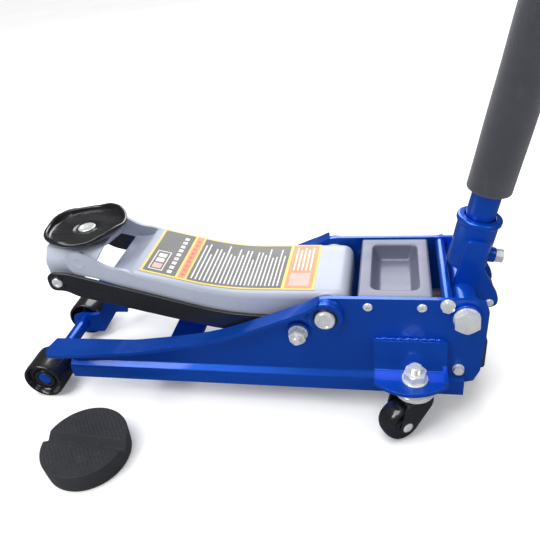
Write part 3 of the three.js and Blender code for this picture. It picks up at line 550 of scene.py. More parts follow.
# chassis
# the painted plates, their brackets and ties keep the CAD shapes
for name in ("side_plate_left", "side_plate_right"):
    dressNode(name, "blue_paint", 1.0)
dressNode("cross_tie_plate", "blue_paint", 1.2)
dressNode("pump_block", "cast_body", 1.6)
dressNode("ram_rod", "ground_steel", 0.8)
dressNode("saddle_bracket", "arm_paint", 2.2)
for word, side in sides:
    dressNode(f"caster_bracket_{word}", "blue_paint", 0.9)

axleShape = dict(edge=2.0)


def makeAxle():
    low, high = boxOf("front_axle")
    here = middleOf("front_axle")
    radius = (high.z - low.z) / 2
    half = (high.y - low.y) / 2
    shapes = [turned(softRod(radius, -half, half, axleShape["edge"]), here, (0, 1, 0), 64)]
    makePiece("frontAxleBar", "blue_paint", "chassis", shapes, ["front_axle"])


def makeCrossRod():
    low, high = boxOf("rear_cross_rod")
    shapes = [turned(softRod((high.z - low.z) / 2, low.y, high.y, 0.8), (middleOf("rear_cross_rod").x, 0,
                     middleOf("rear_cross_rod").z), (0, 1, 0), 48)]
    makePiece("rearCrossRod", "blue_paint", "chassis", shapes, ["rear_cross_rod"])


pivotShape = dict(pinRadius=11.9, dish=1.0, bossRadius=21.4, bossEdge=3.0, bossFace=79.4,
                  plateFace=71.0)


def makeMainPivot():
    p = pivotShape
    low, high = boxOf("main_pivot_pin")
    here = middleOf("main_pivot_pin")
    half = (high.y - low.y) / 2
    r = p["pinRadius"]
    pin = [(0, -half + p["dish"]), (r - 4, -half + p["dish"]), (r - 3, -half), (r - 1, -half), (r, -half + 1),
           (r, -half + 2.4), (r - 1.2, -half + 2.6), (r - 1.2, -half + 4.0), (r, -half + 4.2)]
    pin += [(radius, -along) for radius, along in reversed(pin)]
    makePiece("mainPivotPin", "zinc_plate", "chassis", [turned(pin, here, (0, 1, 0))], ["main_pivot_pin"])
    for word, side in sides:
        outer = p["bossRadius"]
        boss = [(r + 0.6, p["plateFace"] - 2), (outer + 1.6, p["plateFace"] - 2),
                (outer + 1.4, p["plateFace"] + 0.2), (outer, p["plateFace"] + 2.0)]
        boss += rounded([(outer, p["plateFace"] + 2, 0), (outer, p["bossFace"], p["bossEdge"]),
                         (r + 0.6, p["bossFace"], 0)])[1:]
        makePiece(f"pivotBoss_{word}", "blue_paint", "chassis",
                  [turned(boss, (here.x, 0, here.z), (0, side, 0))])
        ring = softRod(r + 2.6, 0.0, 1.5, 0.6, r + 0.2)
        makePiece(f"pivotRetainer_{word}", "black_paint", "chassis",
                  [turned(ring, (here.x, side * (p["bossFace"] + 0.1), here.z), (0, side, 0))])


# bolts, nuts and studs
boltShape = dict(
    washerWall=1.6, edge=0.5,
    # across the flats, seat from the mid-plane, head height, washer radius, turn
    crossRod=(13, 71.2, 5.0, 8.2, 0.3), pumpBlock=(11, 71.2, 5.2, 7.0, 0.9),
    socketPivot=(27, 75.2, 9.4, 14.8, 0.45),
)


def boltAt(node, across, seat, height, washer, turn, piece):
    # a hex head on a washer against the plate; the shank goes back into the plate
    low, high = boxOf(node)
    here = middleOf(node)
    side = 1 if here.y > 0 else -1
    tip = low.y if side > 0 else high.y
    shank = min(high.z - low.z, across) * 0.3
    base = (here.x, side * seat, here.z)
    wall = boltShape["washerWall"]
    shapes = [hexHead(across, height, (here.x, side * (seat + wall), here.z), (0, side, 0), turn),
              turned(softRod(washer, 0, wall, boltShape["edge"]), base, (0, side, 0)),
              turned(softRod(shank, -abs(abs(seat) - abs(tip)), 0.5, 0.4), base, (0, side, 0), 32)]
    makePiece(piece, "zinc_plate", "chassis", shapes, [node])


def makeBolts():
    for word, side in sides:
        boltAt(f"cross_rod_bolt_{word}", *boltShape["crossRod"], f"crossRodBolt_{word}")
        boltAt(f"block_bolt_{word}", *boltShape["pumpBlock"], f"pumpBlockBolt_{word}")
        boltAt(f"socket_bolt_{word}", *boltShape["socketPivot"], f"socketPivotBolt_{word}")
        here = middleOf(f"socket_bolt_{word}")
        makePiece(f"socketBoss_{word}", "blue_paint", "chassis", [turned(
            softRod(16.6, 0, 4.4, 1.2, 9.6), (here.x, side * 70.8, here.z), (0, side, 0))])
        for end in ("front", "rear"):
            here = middleOf(f"tray_screw_{word}_{end}")
            base = (here.x, side * 71.1, here.z)
            head = [(0, 1.0), (1.9, 1.0), (1.9, 2.7)]
            head += rounded([(1.9, 2.7, 0), (4.2, 2.5, 1.5), (5.6, 0.9, 0.8),
                             (5.6, 0, 0)])[1:] + [(3, 0), (3, -9), (0, -9)]
            makePiece(f"trayScrew_{word}_{end}", "zinc_plate", "chassis",
                      [turned(head, base, (0, side, 0), 48)], [f"tray_screw_{word}_{end}"])


def makeLinkStuds():
    for word, side in sides:
        here = middleOf(f"link_stud_{word}")
        low, high = boxOf(f"link_stud_{word}")
        inner, outer = (low.y, high.y) if side > 0 else (-high.y, -low.y)
        seat = 74.3
        base = (here.x, 0, here.z)
        thread = [(0, inner), (5.9, inner), (5.9, seat + 11)]
        turns = int((outer - 1.5 - (seat + 11)) / 0.8)
        for k in range(turns):
            along = seat + 11 + k * 0.8
            thread += [(6.0, along + 0.2), (5.45, along + 0.6)]
        thread += [(5.4, outer - 0.9), (4.6, outer), (0, outer)]
        shapes = [turned(thread, base, (0, side, 0), 40),
                  turned(softRod(12, 0, 2.4, 0.6), (here.x, side * seat, here.z), (0, side, 0)),
                  hexHead(19, 9.5, (here.x, side * (seat + 2.4), here.z), (0, side, 0), 0.4)]
        makePiece(f"linkStud_{word}", "zinc_plate", "chassis", shapes, [f"link_stud_{word}"])
        makePiece(f"linkStudBoss_{word}", "blue_paint", "chassis",
                  [turned(softRod(14.5, 0, 3.4, 1.0, 6.6), (here.x, side * 70.8, here.z), (0, side, 0))])


# tool tray
trayShape = dict(sheet=2.4, slope=6.5, cornerSteps=8, flange=19.0, rollRadius=3.0)


def roundedRing(x0, x1, half, radius, height, steps):
    ring = []
    for cx, cy, start in ((x1 - radius, half - radius, 0), (x0 + radius, half - radius, 90),
                          (x0 + radius, -half + radius, 180), (x1 - radius, -half + radius, 270)):
        for k in range(steps + 1):
            angle = math.radians(start + 90 * k / steps)
            ring.append((cx + radius * math.cos(angle), cy + radius * math.sin(angle), height))
    return ring


def makeTray():
    t = trayShape
    low, high = boxOf("tool_tray")
    x0, x1, half, top = low.x, high.x, (high.y - low.y) / 2, high.z
    floor = low.z + t["sheet"]
    steps = t["cornerSteps"]
    mouthLow, mouthHigh, mouthHalf = x0 + 15, x1 - 14, half - 15.7
    # rings go from the skirt's lower edge, over the rolled edge, across the top and down into the recess
    rings = [roundedRing(x0, x1, half, 3.2, top - t["flange"], steps),
             roundedRing(x0, x1, half, 3.2, top - t["rollRadius"], steps)]
    for k in range(1, 5):
        turn = math.radians(90 * k / 4)
        inset = t["rollRadius"] * (1 - math.cos(turn))
        rise = t["rollRadius"] * math.sin(turn)
        rings.append(roundedRing(x0 + inset, x1 - inset, half - inset, max(3.2 - inset, 0.4),
                                 top - t["rollRadius"] + rise, steps))
    depth = top - floor
    profile = [(1.6, 0.0), (0.6, 0.25), (-0.3, 1.1), (-0.9, 2.4)]
    profile += [(-t["slope"] * k, 2.4 + (depth - 2.4 - 3.5) * k) for k in (0.35, 0.7, 1.0)]
    profile += [(-t["slope"] - 1.2, depth - 1.4), (-t["slope"] - 3.2, depth - 0.3),
                (-t["slope"] - 5.5, depth)]
    for grow, drop in profile:
        rings.append(roundedRing(mouthLow - grow, mouthHigh + grow, mouthHalf + grow, 9 + grow * 0.6,
                                 top - drop, steps))
    count = len(rings[0])
    points = [p for ring in rings for p in ring]
    faces = []
    for i in range(len(rings) - 1):
        for k in range(count):
            j = (k + 1) % count
            faces.append((i * count + k, i * count + j, (i + 1) * count + j, (i + 1) * count + k))
    faces.append(tuple(range((len(rings) - 1) * count, len(rings) * count)))
    tray = makePiece("toolTray", "tray_paint", "chassis", [(points, faces)], ["tool_tray"], sharp=50)
    wall = tray.modifiers.new("sheet", "SOLIDIFY")
    wall.thickness = 1.8 * mm
    wall.offset = -1


# hydraulic unit
def makeHydraulics():
    low, high = boxOf("ram_cylinder")
    here = middleOf("ram_cylinder")
    radius = (high.z - low.z) / 2
    barrel = softRod(radius, low.x, high.x, 1.5, 13.8)
    barrel.insert(4, (radius, low.x + 8))
    makePiece("ramCylinder", "ground_steel", "chassis", [turned(barrel, (0, 0, here.z), (1, 0, 0))],
              ["ram_cylinder"])
    low, high = boxOf("oil_reservoir")
    radius = (high.z - low.z) / 2
    shell = softRod(radius, low.x, high.x, 4.0, 23.6)
    makePiece("oilReservoir", "cast_body", "chassis", [turned(shell, (0, 0, here.z), (1, 0, 0))],
              ["oil_reservoir"])
    plug = middleOf("oil_filler_plug")
    low, high = boxOf("oil_filler_plug")
    makePiece("fillerPlug", "black_paint", "chassis", [
        hexHead(14, 4, (plug.x, plug.y, high.z - 4), (0, 0, 1), 0.2),
        turned(softRod(5.8, low.z, high.z - 3, 0.4), (plug.x, plug.y, 0), (0, 0, 1), 32)],
        ["oil_filler_plug"])
    low, high = boxOf("pump_plunger")
    p = middleOf("pump_plunger")
    stem = [(0, low.z), (7.2, low.z), (8, low.z + 1), (8, high.z - 5), (12.2, high.z - 5), (13, high.z - 4.2),
            (13, high.z - 1.2), (11.8, high.z - 0.2), (0, high.z)]
    makePiece("pumpPlunger", "ground_steel", "plunger", [turned(stem, (p.x, p.y, 0), (0, 0, 1))],
              ["pump_plunger"])
    low, high = boxOf("plunger_spring")
    turns, steps, wire = 5, 30, 0.9
    wide = (high.x - low.x) / 2 - wire
    route = []
    for k in range(turns * steps + 1):
        angle = 2 * math.pi * k / steps
        rise = low.z + wire + (high.z - low.z - 2 * wire) * k / (turns * steps)
        route.append((p.x + wide * math.cos(angle), p.y + wide * math.sin(angle), rise))
    spring = makePiece("plungerSpring", "ground_steel", "chassis", [tube(route, wire, 8)], ["plunger_spring"])
    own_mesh(spring)
    low, high = boxOf("release_valve")
    v = middleOf("release_valve")
    makePiece("releaseValve", "ground_steel", "release_valve", [
        turned(softRod(4.9, low.z, high.z - 3, 0.6), (v.x, v.y, 0), (0, 0, 1), 40),
        slab(soften([(v.x - 8, v.y - 2, 1), (v.x + 8, v.y - 2, 1), (v.x + 8, v.y + 2, 1),
                     (v.x - 8, v.y + 2, 1)]),
             high.z - 4, high.z, "xy")], ["release_valve"])


# lift arm
armShape = dict(
    roll=9.0,           # radius of the long top edges
    wall=4.6,
    noseX=163.0, noseZ=197.5,
    bendX=280.0,
    frontRadius=15.5,
    cheekEdge=1.4,
    scoopWall=3.0,
)


def makeLiftArm():
    a = armShape
    low, high = boxOf("lift_arm")
    pivot = middleOf("main_pivot_pin")
    front = middleOf("arm_front_pin")
    heel = middleOf("heel_pin")
    half = (high.y - low.y) / 2
    rear = high.x
    top = pivot.z + 21.5
    soft = a["roll"]
    # the bent top sheet, rolled down at both long edges
    path = [Vector((a["noseX"] - 4.0, a["noseZ"] - 13.5)), Vector((a["noseX"] - 2.2, a["noseZ"] - 7.5)),
            Vector((a["noseX"] + 1.2, a["noseZ"] - 2.6))]
    path += soften([(a["noseX"] + 8, a["noseZ"] - 0.8, 0), (a["bendX"], top, 42),
                    (rear, top, 17), (rear, pivot.z - 14, 0)], closed=False, steps=9)
    section = [(-half + 0.02, -soft - 1)]
    for k in range(7):
        turn = math.radians(90 * k / 6)
        section.append((-half + 0.02 + soft * (1 - math.cos(turn)), -soft + soft * math.sin(turn)))
    section += [(-half * 0.4, 0), (0, 0)]
    section += [(-across, lift) for across, lift in reversed(section[:-1])]
    under = [(across * (half - a["wall"]) / half, min(lift, 0) * 0.85 - a["wall"])
             for across, lift in section]
    shapes = [swept(path, section + list(reversed(under)))]
    # the scooped sheet that closes the nose behind the saddle's bracket
    scoop = soften([(a["noseX"] - 4, a["noseZ"] - 13, 0), (a["noseX"] - 9, front.z - 26, 8),
                    (front.x + 42, front.z - 28, 10), (front.x + 31, front.z - 26, 0)], closed=False)
    width = half - 5.2
    shapes.append(swept(scoop, [(-width, 0), (0, 0), (width, 0), (width, -a["scoopWall"]),
                                (0, -a["scoopWall"]),
                                (-width, -a["scoopWall"])]))
    # the cheeks, with the round lugs at the nose
    fz = front.z
    fx = front.x
    fr = a["frontRadius"]
    outline = soften([
        (fx - fr, fz - fr, fr * 0.9), (fx + 21, fz - fr - 8, 12), (285, 121, 40), (pivot.x - 42, 115, 14),
        (heel.x - 20, heel.z + 14, 10), (pivot.x + 25, heel.z + 14, 10), (rear, top - soft, 12),
        (a["bendX"] + 8, top - soft + 0.3, 40), (a["noseX"] + 10, a["noseZ"] - soft + 0.5, 10),
        (a["noseX"] - 2, a["noseZ"] + 0.4, 10), (fx + 40, fz - 8.2, 12),
        (fx + 21, fz + 4.5, 12), (fx - 1, fz + fr, 13), (fx - fr, fz + fr - 3, 12)])
    for word, side in sides:
        shapes.append(slab(outline, side * (half - 5), side * half))
    reach = 14
    heelCheek = soften([
        (pivot.x - 20, pivot.z, 0), (heel.x - reach, heel.z - 2, 7), (heel.x - reach + 4, heel.z - reach, 8),
        (heel.x + reach - 4, heel.z - reach, 8), (heel.x + reach, heel.z - 2, 7), (pivot.x + 20, pivot.z, 0)])
    for word, side in sides:
        shapes.append(slab(heelCheek, side * 20, side * 26))
    shapes.append(turned(softRod(20, -half + 0.5, half - 0.5, 1.0), (pivot.x, 0, pivot.z), (0, 1, 0)))
    makePiece("liftArm", "arm_paint", "lift_arm", shapes, ["lift_arm"], bevel=a["cheekEdge"])
    # the painted pin, its round faces flush with the cheeks
    for word, side in sides:
        profile = [(0, 0.05), (6.2, 0.05), (6.8, 0.35), (8.2, 0.35), (9.0, -0.2), (9.1, -0.6), (9.1, -4),
                   (0, -4)]
        makePiece(f"armPinHead_{word}", "arm_paint", "lift_arm",
                  [turned(profile, (fx, side * half, fz), (0, side, 0))])
    makePiece("armFrontPin", "arm_paint", "lift_arm",
              [turned(softRod(8, -half + 1, half - 1, 0.6), (fx, 0, fz), (0, 1, 0), 48)], ["arm_front_pin"])
    low, high = boxOf("heel_pin")
    makePiece("heelPin", "ground_steel", "lift_arm",
              [turned(softRod(7, low.y, high.y, 1.2), (heel.x, 0, heel.z), (0, 1, 0), 48)], ["heel_pin"])
    return path


# the printed sheet: patches of ink on the arm's top, as (from, to) along the arm and across it
labelShape = dict(half=52.0, lift=0.35)
labelPatches = [
    ("yellow", 0.000, 1.000, -1.00, 1.00),
    ("black", 0.014, 0.200, -0.94, 0.94),
    ("white", 0.036, 0.042, -0.84, -0.02),
    ("white", 0.112, 0.118, -0.84, -0.02),
    ("white", 0.042, 0.112, -0.84, -0.81),
    ("white", 0.042, 0.112, -0.05, -0.02),
    ("pink", 0.052, 0.102, -0.76, -0.56),
    ("white", 0.054, 0.100, -0.50, -0.34),
    ("white", 0.054, 0.100, -0.29, -0.13),
    ("orange", 0.214, 0.254, -0.94, 0.94),
    ("black", 0.266, 0.812, -0.94, 0.94),
    ("orange", 0.830, 0.986, -0.94, 0.94),
    ("pink", 0.850, 0.966, -0.84, -0.30),
]


def makeLabel(path):
    s = labelShape
    low, high = boxOf("arm_label")
    start, end = low.x + 0.5, high.x - 0.5
    half = s["half"] - 0.5

    def onPath(x):
        for a, b in zip(path, path[1:]):
            if a.x <= x <= b.x and b.x > a.x:
                t = (x - a.x) / (b.x - a.x)
                along = (b - a).normalized()
                return a.lerp(b, t), Vector((-along.y, along.x))
        return path[-1], Vector((1, 0))

    patches = list(labelPatches)
    # fine light lines on the large panel, and rows of short bars where headings would be
    for row in range(22):
        x = 0.284 + row * 0.0238
        length = 1.42 + 0.20 * math.sin(row * 2.3) + 0.10 * math.cos(row * 5.1)
        patches.append(("white", x, x + 0.0085, -0.86, length - 0.86))
    for k in range(9):
        y = -0.86 + k * 0.19
        patches.append(("white", 0.146, 0.172, y, y + 0.12))
        patches.append(("red", 0.224, 0.243, y, y + 0.12))
    for row in range(5):
        patches.append(("white", 0.856 + row * 0.024, 0.866 + row * 0.024, -0.20, 0.84 - 0.1 * (row % 2)))
    shapes = {}
    for ink, a, b, c, d in patches:
        x0, x1 = start + (end - start) * a, start + (end - start) * b
        y0, y1 = half * c, half * d
        lift = s["lift"] + 0.12 * {"yellow": 0}.get(ink, 1) + 0.1 * (ink in ("white", "pink", "red"))
        count = max(2, int((x1 - x0) / 5))
        points = []
        for i in range(count + 1):
            here, normal = onPath(x0 + (x1 - x0) * i / count)
            for y in (y0, y1):
                points.append((here.x + normal.x * lift, y, here.y + normal.y * lift))
        for i in range(count + 1):
            here, normal = onPath(x0 + (x1 - x0) * i / count)
            for y in (y0, y1):
                points.append((here.x + normal.x * (lift - 0.3), y, here.y + normal.y * (lift - 0.3)))
        under = 2 * (count + 1)
        faces = []
        for i in range(count):
            near, far = 2 * i, 2 * i + 1
            faces += [(near, far, far + 2, near + 2),
                      (near + under, near + under + 2, far + under + 2, far + under),
                      (near, near + 2, near + under + 2, near + under),
                      (far, far + under, far + under + 2, far + 2)]
        faces += [(0, under, under + 1, 1), (2 * count, 2 * count + 1, under + 2 * count + 1,
                                             under + 2 * count)]
        shapes.setdefault(ink, []).append((points, faces))
    for ink, patchShapes in shapes.items():
        material = labelInks.get(ink, finishes["label_film"])
        makePiece(f"armLabel_{ink}", "label_film", "lift_arm", patchShapes,
                  ["arm_label"] if ink == "yellow" else (), material=material)


# levelling links
linkShape = dict(halfHeight=13.5, bendX=285.0, bendZ=122.0, edge=0.8)


def makeLinks():
    s = linkShape
    front = middleOf("link_front_pin")
    rear = middleOf("link_stud_left")
    h = s["halfHeight"]
    outline = soften([
        (front.x - h, front.z - h, 13), (front.x - h, front.z + h, 13), (front.x + 14, front.z + h, 10),
        (s["bendX"], s["bendZ"] + h, 40), (rear.x + h, rear.z + h, 13), (rear.x + h, rear.z - h, 13),
        (s["bendX"], s["bendZ"] - h, 40), (front.x + 22, front.z - h - 9, 12), (front.x + 8, front.z - h, 8)],
        steps=7)
    for word in ("left", "right"):
        low, high = boxOf(f"link_bar_{word}")
        makePiece(f"linkBar_{word}", "black_paint", "level_links", [slab(outline, low.y, high.y)],
                  [f"link_bar_{word}"], bevel=s["edge"])
    low, high = boxOf("link_front_pin")
    rod = [(0, low.y + 0.8), (3.4, low.y + 0.8), (4.0, low.y), (6.2, low.y), (7, low.y + 0.8),
           (7, low.y + 1.6),
           (6.2, low.y + 1.7), (6.2, low.y + 2.4), (7, low.y + 2.5)]
    rod += [(radius, -along) for radius, along in reversed(rod)]
    makePiece("linkFrontPin", "zinc_plate", "saddle_unit", [turned(rod, (front.x, 0, front.z), (0, 1, 0))],
              ["link_front_pin"])
    for word, side in sides:
        low, high = boxOf(f"pin_clip_{word}")
        route = [(front.x + 8.9 * math.cos(t), (low.y + high.y) / 2, front.z + 8.9 * math.sin(t))
                 for t in (math.radians(40 + 6.8 * k) for k in range(43))]
        tips = [turned(softRod(1.6, -0.7, 0.7, 0.3), (front.x + 9.2 * math.cos(t), (low.y + high.y) / 2,
                                                      front.z + 9.2 * math.sin(t)), (0, 1, 0), 20)
                for t in (math.radians(40), math.radians(325))]
        makePiece(f"pinClip_{word}", "black_paint", "saddle_unit", [tube(route, 0.95, 10)] + tips,
                  [f"pin_clip_{word}"])


# saddle
saddleShape = dict(lobes=4, lobeTurn=0.5, crest=1.8, valley=2.2, floor=5.5)


def makeSaddle():
    s = saddleShape
    low, high = boxOf("saddle")
    here = middleOf("saddle")
    radius = (high.x - low.x) / 2
    base, top = low.z, high.z
    height = top - base

    def wavy(r, along, angle):
        # the rim rises in broad lobes with lower saddles between them
        rise = math.cos(s["lobes"] * (angle + s["lobeTurn"]))
        level = 0.5 + 0.5 * math.sin(math.pi / 2 * rise)
        part = max(0.0, (along - s["floor"]) / (height - s["floor"]))
        return r, along + (s["crest"] * level - s["valley"] * (1 - level)) * part
    profile = [(0, 0), (38, 0), (44, 1.4), (49, 3.6), (53, 6.4), (54.6, 8.4), (radius, 9.8),
               (radius, height - 1.6), (radius - 0.5, height - 0.6), (radius - 1.5, height),
               (radius - 3.4, height), (radius - 4.5, height - 0.6), (radius - 5.2, height - 2),
               (radius - 6.2, s["floor"] + 1.4), (radius - 7.6, s["floor"] + 0.5), (radius - 10, s["floor"]),
               (30, s["floor"] - 0.1), (20, s["floor"]), (17.2, s["floor"] + 0.1), (16.6, s["floor"] - 0.3),
               (12.2, s["floor"] - 0.3), (11.7, s["floor"] - 1.4), (0, s["floor"] - 1.6)]
    makePiece("saddleDish", "black_paint", "saddle", [turned(profile, (here.x, here.y, base), (0, 0, 1), 144,
                                                             wavy)], ["saddle"], sharp=42)
    low, high = boxOf("saddle_bolt")
    top = high.z
    bolt = [(0, low.z), (6.8, low.z), (6.8, top - 2.6), (11.0, top - 2.4), (11.4, top - 1.9),
            (11.4, top - 0.6),
            (10.9, top - 0.1), (10.2, top), (8.2, top), (7.8, top - 0.25), (2.6, top - 0.35),
            (2.2, top - 0.8),
            (0, top - 1.0)]
    makePiece("saddleBolt", "zinc_plate", "saddle", [turned(bolt, (here.x, here.y, 0), (0, 0, 1))],
              ["saddle_bolt"])


# handle and its socket, along the leaning line of the tubes
lean = math.radians(9.9)
handleAxis = Vector((math.sin(lean), 0, math.cos(lean)))
socketPivot = Vector((middleOf("socket_bolt_left").x, 0, middleOf("socket_bolt_left").z))
handleShape = dict(
    radius=16.4, wall=2.2, start=30.0, joint=480.0, end=985.0,
    foamRadius=25.0, foamStart=124.0, foamEnd=455.0, gripStart=860.0, gripRadius=19.4,
    collar=25.4, socketRadius=23.0, socketTop=91.0,
)


def leaning(x, z):
    # a point in the socket's own upright frame, turned back by the lean
    c, s = math.cos(lean), math.sin(lean)
    return Vector((socketPivot.x + x * c + z * s, 0, socketPivot.z - x * s + z * c))


def makeHandle():
    h = handleShape
    r = h["radius"]
    lower = softRod(r, h["start"], h["joint"], 0.8, r - h["wall"])
    upper = softRod(r, h["joint"] + 0.3, h["end"], 0.8, r - h["wall"])
    makePiece("handleLowerTube", "blue_paint", "handle", [turned(lower, socketPivot, handleAxis, 96)],
              ["handle_lower_tube"])
    joint = h["joint"]
    swage = [(r + 0.1, joint - 22), (r + 0.9, joint - 21), (r + 1.2, joint - 19), (r + 1.2, joint - 3),
             (r + 0.9, joint - 1.6), (r + 0.1, joint - 1)]
    makePiece("handleSwage", "blue_paint", "handle", [turned(swage, socketPivot, handleAxis, 96)])
    makePiece("handleUpperTube", "blue_paint", "handle", [turned(upper, socketPivot, handleAxis, 96)],
              ["handle_upper_tube"])
    wide = h["foamRadius"]

    def pressed(radius, along, angle):
        # foam gives a little along its length and round it
        if radius < wide - 3:
            return radius, along
        soft = (0.35 * math.sin(along * 0.021 + 1.3 * math.sin(angle))
                + 0.2 * math.sin(along * 0.057 + 2 * angle))
        return radius + soft * 0.8 - 0.3, along
    body = [(r + 0.35, h["foamStart"])]
    body += rounded([(r + 3, h["foamStart"], 0), (wide, h["foamStart"], 4.5),
                     (wide, h["foamStart"] + 9, 0)])
    count = 44
    body += [(wide, h["foamStart"] + 9 + (h["foamEnd"] - h["foamStart"] - 18) * k / count)
             for k in range(1, count)]
    body += rounded([(wide, h["foamEnd"] - 9, 0), (wide, h["foamEnd"], 4.5),
                     (r + 3, h["foamEnd"], 0)])
    body += [(r + 0.35, h["foamEnd"])]
    foamPiece = makePiece("foamSleeve", "foam_sleeve", "handle",
                          [turned(body, socketPivot, handleAxis, 96, pressed)],
                          ["foam_sleeve"])
    g = h["gripRadius"]
    grip = [(r + 0.35, h["gripStart"]), (g - 1, h["gripStart"]), (g + 0.1, h["gripStart"] + 1),
            (g + 0.1, h["gripStart"] + 4), (g - 0.6, h["gripStart"] + 5)]
    for k in range(15):
        along = h["gripStart"] + 9 + k * 7.2
        grip += [(g - 0.6, along), (g - 0.2, along + 0.8), (g - 0.2, along + 3.6), (g - 0.6, along + 4.4),
                 (g - 1.3, along + 4.9), (g - 1.3, along + 6.4)]
    end = h["end"] + 2.9
    grip += [(g - 0.6, end - 8), (g - 0.4, end - 5)]
    grip += rounded([(g - 0.4, end - 5, 0), (g - 0.6, end, 4), (0, end, 0)])[1:]
    grip += [(0, h["end"] + 0.4), (r + 0.35, h["end"] + 0.4)]
    makePiece("handleGrip", "grip_rubber", "handle",
              [turned(grip, socketPivot, handleAxis, 96)], ["handle_grip"])


def makeSocket():
    h = handleShape
    r = h["socketRadius"]
    top = h["socketTop"]
    tubeProfile = [(17.4, 27), (r - 1, 27), (r, 28), (r, top - 11)]
    tubeProfile += rounded([(r, top - 11, 0), (r + 0.6, top - 7.5, 3), (h["collar"], top - 6, 2),
                            (h["collar"], top - 0.2, 3.2), (17.4, top, 0)])[1:]
    shapes = [turned(tubeProfile, socketPivot, handleAxis, 96)]
    rollerAt = middleOf("roller_pin")
    dx, dz = rollerAt.x - socketPivot.x, rollerAt.z - socketPivot.z
    lx = dx * math.cos(lean) - dz * math.sin(lean)
    lz = dx * math.sin(lean) + dz * math.cos(lean)
    ear = soften([(-13, -13, 12), (8, -18, 10), (lx - 3, lz - 10, 8), (lx + 10, lz - 3, 10),
                  (lx + 8, lz + 10, 9),
                  (12, 41, 14), (12, 71, 6), (-12, 71, 6), (-13, 21, 8)], steps=7)
    placed = [Vector((leaning(x, z).x, leaning(x, z).z)) for x, z in ear]
    for side in (-1, 1):
        shapes.append(slab(placed, side * 21, side * 28))
    shapes.append(turned(softRod(15, -65.5, 65.5, 1.0, 9.4), socketPivot, (0, 1, 0)))
    shapes.append(turned(softRod(9, 20, 29, 1.0, 4.3), leaning(0, 42), leaning(1, 0) - leaning(0, 0), 48))
    makePiece("handleSocket", "blue_paint", "handle_socket", shapes, ["handle_socket"], bevel=1.0)
    along = leaning(1, 0) - leaning(0, 0)
    makePiece("socketLockScrew", "zinc_plate", "handle_socket", [
        hexHead(14.6, 9, leaning(29.4, 42), along, 0.3),
        turned(softRod(4, 17.6, 30, 0.5), leaning(0, 42), along, 32)], ["handle_lock_screw"])
    low, high = boxOf("roller_pin")
    pin = softRod(4.9, low.y, high.y, 1.2)
    makePiece("rollerPin", "zinc_plate", "handle_socket",
              [turned(pin, (rollerAt.x, 0, rollerAt.z), (0, 1, 0), 48)], ["roller_pin"])
    low, high = boxOf("plunger_roller")
    makePiece("plungerRoller", "ground_steel", "handle_socket", [
        turned(softRod(8.9, low.y, high.y, 1.0, 5.6), (rollerAt.x, 0, rollerAt.z), (0, 1, 0), 64)],
        ["plunger_roller"])


# front wheels
wheelShape = dict(hub=14.5, hubProud=4.0, recess=9.0, wall=4.0, web=8.0, edge=3.0, bore=10.5)


def makeFrontWheels():
    w = wheelShape
    for word, side in sides:
        low, high = boxOf(f"front_wheel_{word}")
        here = middleOf(f"front_wheel_{word}")
        radius = (high.z - low.z) / 2
        outer, inner = (high.y, low.y) if side > 0 else (-low.y, -high.y)
        web = outer - w["recess"]
        rim = radius - w["wall"]
        corners = [
            (w["bore"], web - w["web"] - 12, 1), (w["hub"], web - w["web"] - 12, 1.5),
            (w["hub"] + 1, web - w["web"], 2),
            (rim - 1, web - w["web"], 3), (rim, inner, 1.2), (radius - 0.4, inner, 2.2),
            (radius, inner + 6, 3),
            (radius, outer - 5, 3), (radius - 0.5, outer, w["edge"]), (rim, outer, 1.6),
            (rim - 2.6, web, 3.0),
            (w["hub"] + 1.8, web, 2.2), (w["hub"], web + w["hubProud"], 1.4),
            (w["bore"], web + w["hubProud"], 1)]
        makePiece(f"frontWheel_{word}", "wheel_enamel", f"front_wheel_{word}", [turned(
            [tuple(p) for p in soften(corners, steps=4)], (here.x, 0, here.z), (0, side, 0), 128)],
            [f"front_wheel_{word}"], sharp=60)


# casters
casterShape = dict(yaw=35.0, trail=21.0, radius=25.0, width=28.0, cheek=17.5, wall=3.0, top=59.0)


